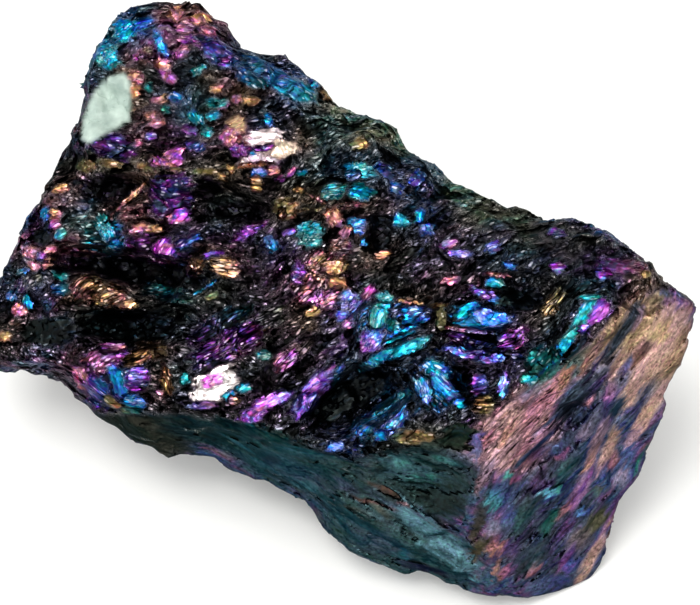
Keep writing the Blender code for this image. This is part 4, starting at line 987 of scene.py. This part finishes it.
def paint(piece):
    # film, shine and finish of each point, and the frame that its fine ridges run in
    mesh = piece.data
    points = readVectors(mesh, "unbroken")
    normals = readVectors(mesh, "facing")
    s = surface(points, normals)
    colour, (shine, ash, knobs, stripes) = s["field"][:, :3].copy(), s["field"][:, 3:].T.copy()
    clean, found, heights = s["clean"], s["found"], s["heights"]
    chip, grain = found["chips"]["draws"], found["grains"]["draws"]
    crest = smoothStep(-0.25, 0.05, heights["ledges"] + heights["chips"])

    # painted glints and shade: each chip gets its own brightness, low parts less and crests more
    glint = (0.10 + 1.2 * chip[:, 2] ** 4 + 1.0 * grain[:, 2] ** 5) * (0.3 + 0.7 * crest)
    even = 0.6 * knobs  # knobbly parts shine more evenly
    glint = glint * (1 - even) + 0.6 * even
    bands = smoothNoise(s["place"] * np.array((0.7, 1, 1)), 1.5, 26)[:, 0]  # darker and brighter parts
    glint = glint * (0.35 + 1.25 * smoothStep(-0.4, 0.5, bands))
    shine = shine * (0.82 * glint * (1 - clean) + clean)
    clusters = 1 + 1.2 * smoothNoise(s["place"], 1.6, 25)[:, 0]
    # painted glints: sparks gather on the crests
    sparks = (0.06 + 0.30 * crest * clusters) * (1 - clean) + 0.02 * clean
    # painted glare: a few chips and grains turn whitish
    glare = 0.5 * np.clip(chip[:, 2] + grain[:, 3] - 1.5, 0, 1) * (1 - clean)
    rough = 0.17 + 0.12 * chip[:, 5] + 0.25 * ash + 0.14 * knobs + 0.10 * clean
    flaky = (0.25 + 0.75 * chip[:, 4]) * (1 - 0.35 * knobs) * (1 - clean) + 0.12 * clean

    # ridges run along the ledges, turned a little from chip to chip
    base = np.where(clean > 0.5, np.where(s["end"], 52.0, -30.0), np.degrees(s["grainAngle"]))
    swing = np.radians(base + (chip[:, 6] - 0.5) * 50 * (1 - clean))
    home = s["place"] - chip[:, :3] * 40 * (1 - np.round(clean))[:, None]
    way = spun(home, swing)

    # the film of a patch carries on into the grains round it, and its colour is met first
    for across, up, halfLength, halfWidth, turn, lift, startFilm, endFilm, patchShine, *rest in patches.values():
        if patchShine < 0.2:
            continue
        near, along, reach = patchReach(s["flat"], across, up, halfLength + 0.5, halfWidth + 0.5, turn, 1.7)
        share = tarnish["halo"] * (1 - smoothStep(0.6, 1.7, reach)) * (1 - clean[near]) * min(patchShine * 1.5, 1)
        run = np.clip(along * 0.5 + 0.5, 0, 1)[:, None]
        scattered = 0.12 * (chip[near, 0] - 0.5)
        grown = filmColour(film[startFilm][0] + scattered) * (1 - run)
        grown += filmColour(film[endFilm][0] + scattered) * run
        colour[near] = colour[near] * (1 - share[:, None]) + grown * share[:, None]

    strokes = (0.9 - 0.5 * knobs) * (1 - clean)
    for name, patch in patches.items():
        across, up, halfLength, halfWidth, turn, lift, startFilm, endFilm, patchShine, patchStripes = patch
        near, along, reach = patchReach(
            s["flat"], across, up, halfLength, halfWidth, turn, 1.5, breaking["fringe"]
        )
        # painted shade: a dark ring round each bright facet, as in a shaded gap between facets
        creviceShade = smoothStep(0.95, 1.12, reach) * (1 - smoothStep(1.2, 1.5, reach)) * (1 - clean[near])
        creviceShade = creviceShade * (1 - 0.65 * knobs[near])
        shine[near] = shine[near] * (1 - 0.7 * creviceShade * min(patchShine * 2, 1))
        kept = reach < 1.12
        near, along, reach = near[kept], along[kept], reach[kept]
        soft = np.maximum(0.4 * clean[near], 0.25 * knobs[near])
        m = (1 - smoothStep(0.9 - soft, 1.12, reach)) * s["best"][near]
        if not m.any():
            print("patch", name, "meets no surface")
            continue
        run = np.clip(along * 0.5 + 0.5, 0, 1)
        broken = 1 - clean[near]
        scattered = (0.10 * (chip[near, 0] - 0.5) + 0.14 * (grain[near, 1] - 0.5)) * broken
        start, end = filmColour(film[startFilm][0] + scattered), filmColour(film[endFilm][0] + scattered)
        patchColour = start * (1 - run[:, None]) + end * run[:, None]
        level = 1.2 * patchShine * (1 - 0.25 * broken + 0.25 * grain[near, 2] * broken)
        colour[near] = colour[near] * (1 - m[:, None]) + patchColour * m[:, None]
        shine[near] = shine[near] * (1 - m) + np.clip(level, 0, 1) * m
        # painted glare: a facet with a shine above 0.95 turns whitish
        glare[near] = glare[near] * (1 - m) + np.clip(3 * (patchShine - 0.95), 0, 1) * m
        ash[near] = ash[near] * (1 - m)
        sparks[near] = sparks[near] * (1 - m) + (0.03 if patchShine < 0.08 else 0.18) * broken * m
        strokes[near] = strokes[near] * (1 - m) + np.clip(0.55 + 0.45 * patchStripes, 0, 1) * broken * m
        stripes[near] = stripes[near] * (1 - m) + max(patchStripes, 0) * m
        rough[near] = rough[near] * (1 - m) + (0.29 + 0.08 * knobs[near]) * m
        flaky[near] = flaky[near] * (1 - m) + (0.04 + 0.30 * min(patchShine, 1) * (1 - max(patchStripes, 0))) * m
        core = near[m > 0.5]
        way[core] = spun(s["place"][core] - np.array((across - 3, up, 0)), np.full(len(core), math.radians(turn)))

    # streaks that run over the clean faces, and smears between them
    shine = shine * (1 + clean * (0.35 * s["streak"][:, 0] + 0.35 * s["smear"][:, 1]))
    grey = colour.mean(axis=1)[:, None] * clean[:, None]
    colour = colour * (1 - tarnish["cleanGrey"] * clean[:, None]) + tarnish["cleanGrey"] * grey
    ash, glare = np.clip(ash, 0, 1)[:, None], np.clip(glare, 0, 1)[:, None]
    colour = colour * (1 - ash) + np.array(linearColour(tarnish["ash"])[:3]) * ash
    colour = colour * (1 - glare) + np.array(linearColour(tarnish["glare"])[:3]) * glare
    shine = np.clip(shine, 0, 1)[:, None]
    gangue = gangueShare(s)
    paintLayer(mesh, "tint", np.concatenate([colour * shine, shine], axis=1))
    # tint: colour and shine; skin: roughness, flakiness, gangue and stripes; grit: sparks, mottling and strokes
    paintLayer(mesh, "skin", np.stack([rough, flaky * (1 - gangue), gangue, stripes], axis=1))
    bare = 1 - gangue
    paintLayer(mesh, "grit", np.stack([sparks * bare, 0.3 + 0.7 * clean, strokes * bare, 0 * clean + 1], axis=1))
    layer = mesh.attributes.new("way", "FLOAT_VECTOR", "POINT")
    layer.data.foreach_set("vector", way.astype(np.float32).ravel())


def borniteMaterial():
    material = bpy.data.materials.new("tarnishedBornite")
    material.use_nodes = True
    tree = material.node_tree
    tree.nodes.clear()
    place = addNode(tree, "ShaderNodeTexCoord").outputs["Object"]
    way = addNode(tree, "ShaderNodeAttribute", {"attribute_name": "way"}).outputs["Vector"]
    tint = addNode(tree, "ShaderNodeAttribute", {"attribute_name": "tint"})
    skin = addNode(tree, "ShaderNodeAttribute", {"attribute_name": "skin"})
    grit = addNode(tree, "ShaderNodeAttribute", {"attribute_name": "grit"})
    rough, flaky, gangue = addNode(tree, "ShaderNodeSeparateColor", links={0: skin.outputs["Color"]}).outputs
    sparks, mottle, strokes = addNode(tree, "ShaderNodeSeparateColor", links={0: grit.outputs["Color"]}).outputs
    stripes, shine = skin.outputs["Alpha"], tint.outputs["Alpha"]

    # each pattern is stretched along the grain
    spaces = {}
    for pattern in ("flake", "ridge", "dash"):
        long, wide = tarnish[pattern]
        spaces[pattern] = addNode(
            tree, "ShaderNodeMapping", {}, {"Scale": (1 / long, 1 / wide, 1 / wide)}, {"Vector": way}
        ).outputs[0]

    # finest facets: each is a small plane that leans its own way
    flake = addNode(tree, "ShaderNodeTexVoronoi", {}, {"Scale": 1.0}, {"Vector": spaces["flake"]})
    away = addNode(
        tree, "ShaderNodeVectorMath", {"operation": "SUBTRACT"}, {},
        {0: spaces["flake"], 1: flake.outputs["Position"]},
    )
    lean = addNode(
        tree, "ShaderNodeVectorMath", {"operation": "SUBTRACT"}, {1: (0.5, 0.5, 0.5)}, {0: flake.outputs["Color"]}
    )
    flakeHeight = addNode(
        tree, "ShaderNodeVectorMath", {"operation": "DOT_PRODUCT"}, {}, {0: away.outputs[0], 1: lean.outputs[0]}
    ).outputs["Value"]
    flakeDraw = addNode(tree, "ShaderNodeSeparateColor", links={0: flake.outputs["Color"]}).outputs

    ridgeHeight = addNode(
        tree, "ShaderNodeTexNoise", {}, {"Scale": 1.0, "Detail": 3.0, "Roughness": 0.6},
        {"Vector": spaces["ridge"]},
    ).outputs["Fac"]

    # the film's thickness, and so its hue, changes a little from facet to facet
    hue = addNode(
        tree, "ShaderNodeMapRange", {}, {"To Min": 0.5 - tarnish["hueSwing"], "To Max": 0.5 + tarnish["hueSwing"]},
        {"Value": flakeDraw[0]},
    )
    colour = addNode(
        tree, "ShaderNodeHueSaturation", {}, {}, {"Hue": hue.outputs[0], "Color": tint.outputs["Color"]}
    ).outputs[0]

    # painted glints and shade of the uneven break: short strokes along the grain,
    # each as bright as its own draw, on a film darkened between them
    dash = addNode(tree, "ShaderNodeTexVoronoi", {}, {"Scale": 1.0}, {"Vector": spaces["dash"]})
    dashDraw = addNode(tree, "ShaderNodeSeparateColor", links={0: dash.outputs["Color"]}).outputs
    dashBody = addNode(
        tree, "ShaderNodeMapRange", {}, {"From Min": 0.30, "From Max": 0.50, "To Min": 1.0, "To Max": 0.0},
        {"Value": dash.outputs["Distance"]},
    )
    stroke = addNode(
        tree, "ShaderNodeMapRange", {}, {"From Min": 0.28, "From Max": 0.62, "To Min": 1.0, "To Max": 0.12},
        {"Value": dash.outputs["Distance"]},
    )
    drawn = addNode(tree, "ShaderNodeMath", {"operation": "POWER"}, {1: 3.0}, {0: dashDraw[2]})
    drawn = addNode(tree, "ShaderNodeMapRange", {}, {"To Min": 0.08, "To Max": 4.2}, {"Value": drawn.outputs[0]})
    stroke = addNode(
        tree, "ShaderNodeMath", {"operation": "MULTIPLY_ADD"}, {2: -1.0},
        {0: stroke.outputs[0], 1: drawn.outputs[0]},
    )
    stroke = addNode(
        tree, "ShaderNodeMath", {"operation": "MULTIPLY_ADD"}, {2: 1.0}, {0: stroke.outputs[0], 1: strokes}
    )

    # painted shade between the fine ridges and a slight painted highlight on them, and a mottling of the film
    grooveShade = addNode(
        tree, "ShaderNodeMapRange", {}, {"From Min": 0.36, "From Max": 0.56, "To Min": -0.75, "To Max": 0.15},
        {"Value": ridgeHeight},
    )
    striped = addNode(
        tree, "ShaderNodeMath", {"operation": "MULTIPLY_ADD"}, {2: 1.0}, {0: grooveShade.outputs[0], 1: stripes}
    )
    cloud = addNode(
        tree, "ShaderNodeTexNoise", {}, {"Scale": 1 / tarnish["mottle"], "Detail": 3.0, "Roughness": 0.7},
        {"Vector": way},
    )
    clouding = addNode(
        tree, "ShaderNodeMapRange", {"clamp": False}, {"From Min": 0.5, "From Max": 0.75},
        {"Value": cloud.outputs["Fac"]},
    )
    mottled = addNode(
        tree, "ShaderNodeMath", {"operation": "MULTIPLY_ADD"}, {2: 1.0}, {0: clouding.outputs[0], 1: mottle}
    )
    level = addNode(
        tree, "ShaderNodeMath", {"operation": "MULTIPLY", "use_clamp": False}, {},
        {0: striped.outputs[0], 1: mottled.outputs[0]},
    )
    level = addNode(
        tree, "ShaderNodeMath", {"operation": "MULTIPLY"}, {}, {0: level.outputs[0], 1: stroke.outputs[0]}
    )
    colour = addNode(
        tree, "ShaderNodeMix", {"data_type": "RGBA", "blend_type": "MULTIPLY"}, {0: 1.0},
        {6: colour, 7: level.outputs[0]},
    ).outputs[2]
    covered = addNode(
        tree, "ShaderNodeMapRange", {}, {"From Max": 0.25, "To Min": 1.0, "To Max": 0.0}, {"Value": shine}
    )
    colour = addNode(
        tree, "ShaderNodeMix", {"data_type": "RGBA", "blend_type": "ADD"}, {7: linearColour(tarnish["bare"])},
        {0: covered.outputs[0], 6: colour},
    ).outputs[2]

    # painted glints: pale highlights in the colour, as short dashes along the grain, specks, and thin bright
    # crests
    picked = addNode(tree, "ShaderNodeMath", {"operation": "ADD"}, {}, {0: dashDraw[0], 1: sparks})
    picked = addNode(
        tree, "ShaderNodeMapRange", {}, {"From Min": 1.0, "From Max": 1.1}, {"Value": picked.outputs[0]}
    )
    dashes = addNode(
        tree, "ShaderNodeMath", {"operation": "MULTIPLY"}, {}, {0: dashBody.outputs[0], 1: picked.outputs[0]}
    )
    speckBody = addNode(
        tree, "ShaderNodeMapRange", {}, {"From Min": 0.25, "From Max": 0.5, "To Min": 1.0, "To Max": 0.0},
        {"Value": flake.outputs["Distance"]},
    )
    picked = addNode(
        tree, "ShaderNodeMath", {"operation": "MULTIPLY_ADD"}, {1: 0.35}, {0: sparks, 2: flakeDraw[1]}
    )
    picked = addNode(
        tree, "ShaderNodeMapRange", {}, {"From Min": 1.0, "From Max": 1.05}, {"Value": picked.outputs[0]}
    )
    specks = addNode(
        tree, "ShaderNodeMath", {"operation": "MULTIPLY"}, {}, {0: speckBody.outputs[0], 1: picked.outputs[0]}
    )
    offset = addNode(tree, "ShaderNodeMath", {"operation": "SUBTRACT"}, {1: 0.5}, {0: ridgeHeight})
    offset = addNode(tree, "ShaderNodeMath", {"operation": "ABSOLUTE"}, {}, {0: offset.outputs[0]})
    crest = addNode(
        tree, "ShaderNodeMapRange", {}, {"From Max": 0.022, "To Min": 1.0, "To Max": 0.0},
        {"Value": offset.outputs[0]},
    )
    patch = addNode(
        tree, "ShaderNodeTexNoise", {}, {"Scale": 1 / tarnish["crestPatch"], "Detail": 1.0}, {"Vector": way}
    )
    crested = addNode(
        tree, "ShaderNodeMapRange", {}, {"From Min": 0.52, "From Max": 0.62, "To Max": 4.0},
        {"Value": patch.outputs["Fac"]},
    )
    crest = addNode(
        tree, "ShaderNodeMath", {"operation": "MULTIPLY"}, {}, {0: crest.outputs[0], 1: crested.outputs[0]}
    )
    crest = addNode(
        tree, "ShaderNodeMath", {"operation": "MULTIPLY", "use_clamp": True}, {}, {0: crest.outputs[0], 1: sparks}
    )
    glints = addNode(
        tree, "ShaderNodeMath", {"operation": "MAXIMUM"}, {}, {0: dashes.outputs[0], 1: specks.outputs[0]}
    )
    glints = addNode(
        tree, "ShaderNodeMath", {"operation": "MAXIMUM"}, {}, {0: glints.outputs[0], 1: crest.outputs[0]}
    )
    share = addNode(
        tree, "ShaderNodeMapRange", {}, {"To Min": 0.5, "To Max": 1.0}, {"Value": dashDraw[1]}
    )
    glints = addNode(
        tree, "ShaderNodeMath", {"operation": "MULTIPLY"}, {}, {0: glints.outputs[0], 1: share.outputs[0]}
    )
    floorShine = addNode(tree, "ShaderNodeMath", {"operation": "MAXIMUM"}, {1: 0.02}, {0: shine})
    pure = addNode(
        tree, "ShaderNodeMix", {"data_type": "RGBA", "blend_type": "DIVIDE"}, {0: 1.0},
        {6: tint.outputs["Color"], 7: floorShine.outputs[0]},
    )
    glintColour = addNode(
        tree, "ShaderNodeMix", {"data_type": "RGBA"}, {0: tarnish["glintPale"], 7: linearColour(tarnish["glare"])},
        {6: pure.outputs[2]},
    )
    colour = addNode(
        tree, "ShaderNodeMix", {"data_type": "RGBA"}, {},
        {0: glints.outputs[0], 6: colour, 7: glintColour.outputs[2]},
    ).outputs[2]

    # pale gangue mineral on the head, mottled and matt
    veil = addNode(
        tree, "ShaderNodeTexNoise", {}, {"Scale": 1 / (tarnish["gangueMottle"] * mm), "Detail": 4.0},
        {"Vector": place},
    )
    veined = addNode(
        tree, "ShaderNodeMix", {"data_type": "RGBA"},
        {6: linearColour(tarnish["gangueShade"]), 7: linearColour(tarnish["gangue"])}, {0: veil.outputs["Fac"]},
    )
    colour = addNode(
        tree, "ShaderNodeMix", {"data_type": "RGBA"}, {}, {0: gangue, 6: colour, 7: veined.outputs[2]}
    ).outputs[2]
    metallic = addNode(tree, "ShaderNodeMath", {"operation": "SUBTRACT"}, {0: 1.0}, {1: gangue})
    roughness = addNode(tree, "ShaderNodeMath", {"operation": "MULTIPLY_ADD"}, {1: 0.3}, {0: gangue, 2: rough})
    roughness = addNode(
        tree, "ShaderNodeMath", {"operation": "MULTIPLY_ADD"}, {1: 0.18},
        {0: glints.outputs[0], 2: roughness.outputs[0]},
    )

    grain = addNode(
        tree, "ShaderNodeBump", {}, {"Distance": tarnish["flakeHeight"] * mm},
        {"Strength": flaky, "Height": flakeHeight},
    )
    lift = addNode(tree, "ShaderNodeMapRange", {}, {"To Min": 0.12, "To Max": 1.0}, {"Value": stripes})
    ridges = addNode(
        tree, "ShaderNodeBump", {}, {"Distance": tarnish["ridgeHeight"] * mm},
        {"Strength": lift.outputs[0], "Height": ridgeHeight, "Normal": grain.outputs[0]},
    )
    shader = addNode(
        tree, "ShaderNodeBsdfPrincipled", {}, {"Specular Tint": tarnish["grazing"]},
        {
            "Base Color": colour,
            "Metallic": metallic.outputs[0],
            "Roughness": roughness.outputs[0],
            "Normal": ridges.outputs[0],
        },
    )
    addNode(tree, "ShaderNodeOutputMaterial", links={"Surface": shader.outputs[0]})
    return material


makeCamera()
makeLights()
makeFloor()
print("camera, lights and floor are set")
ore = denseStone()
settleRim(ore)
print("stone remeshed:", len(ore.data.vertices), "points")
fracture(ore)
print("break carved")
thin(ore)
print("thinned to", len(ore.data.polygons), "triangles")
paint(ore)
print("film painted")
ore.data.materials.clear()
ore.data.materials.append(borniteMaterial())
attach(ore, "root")
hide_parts("bornite_stone")
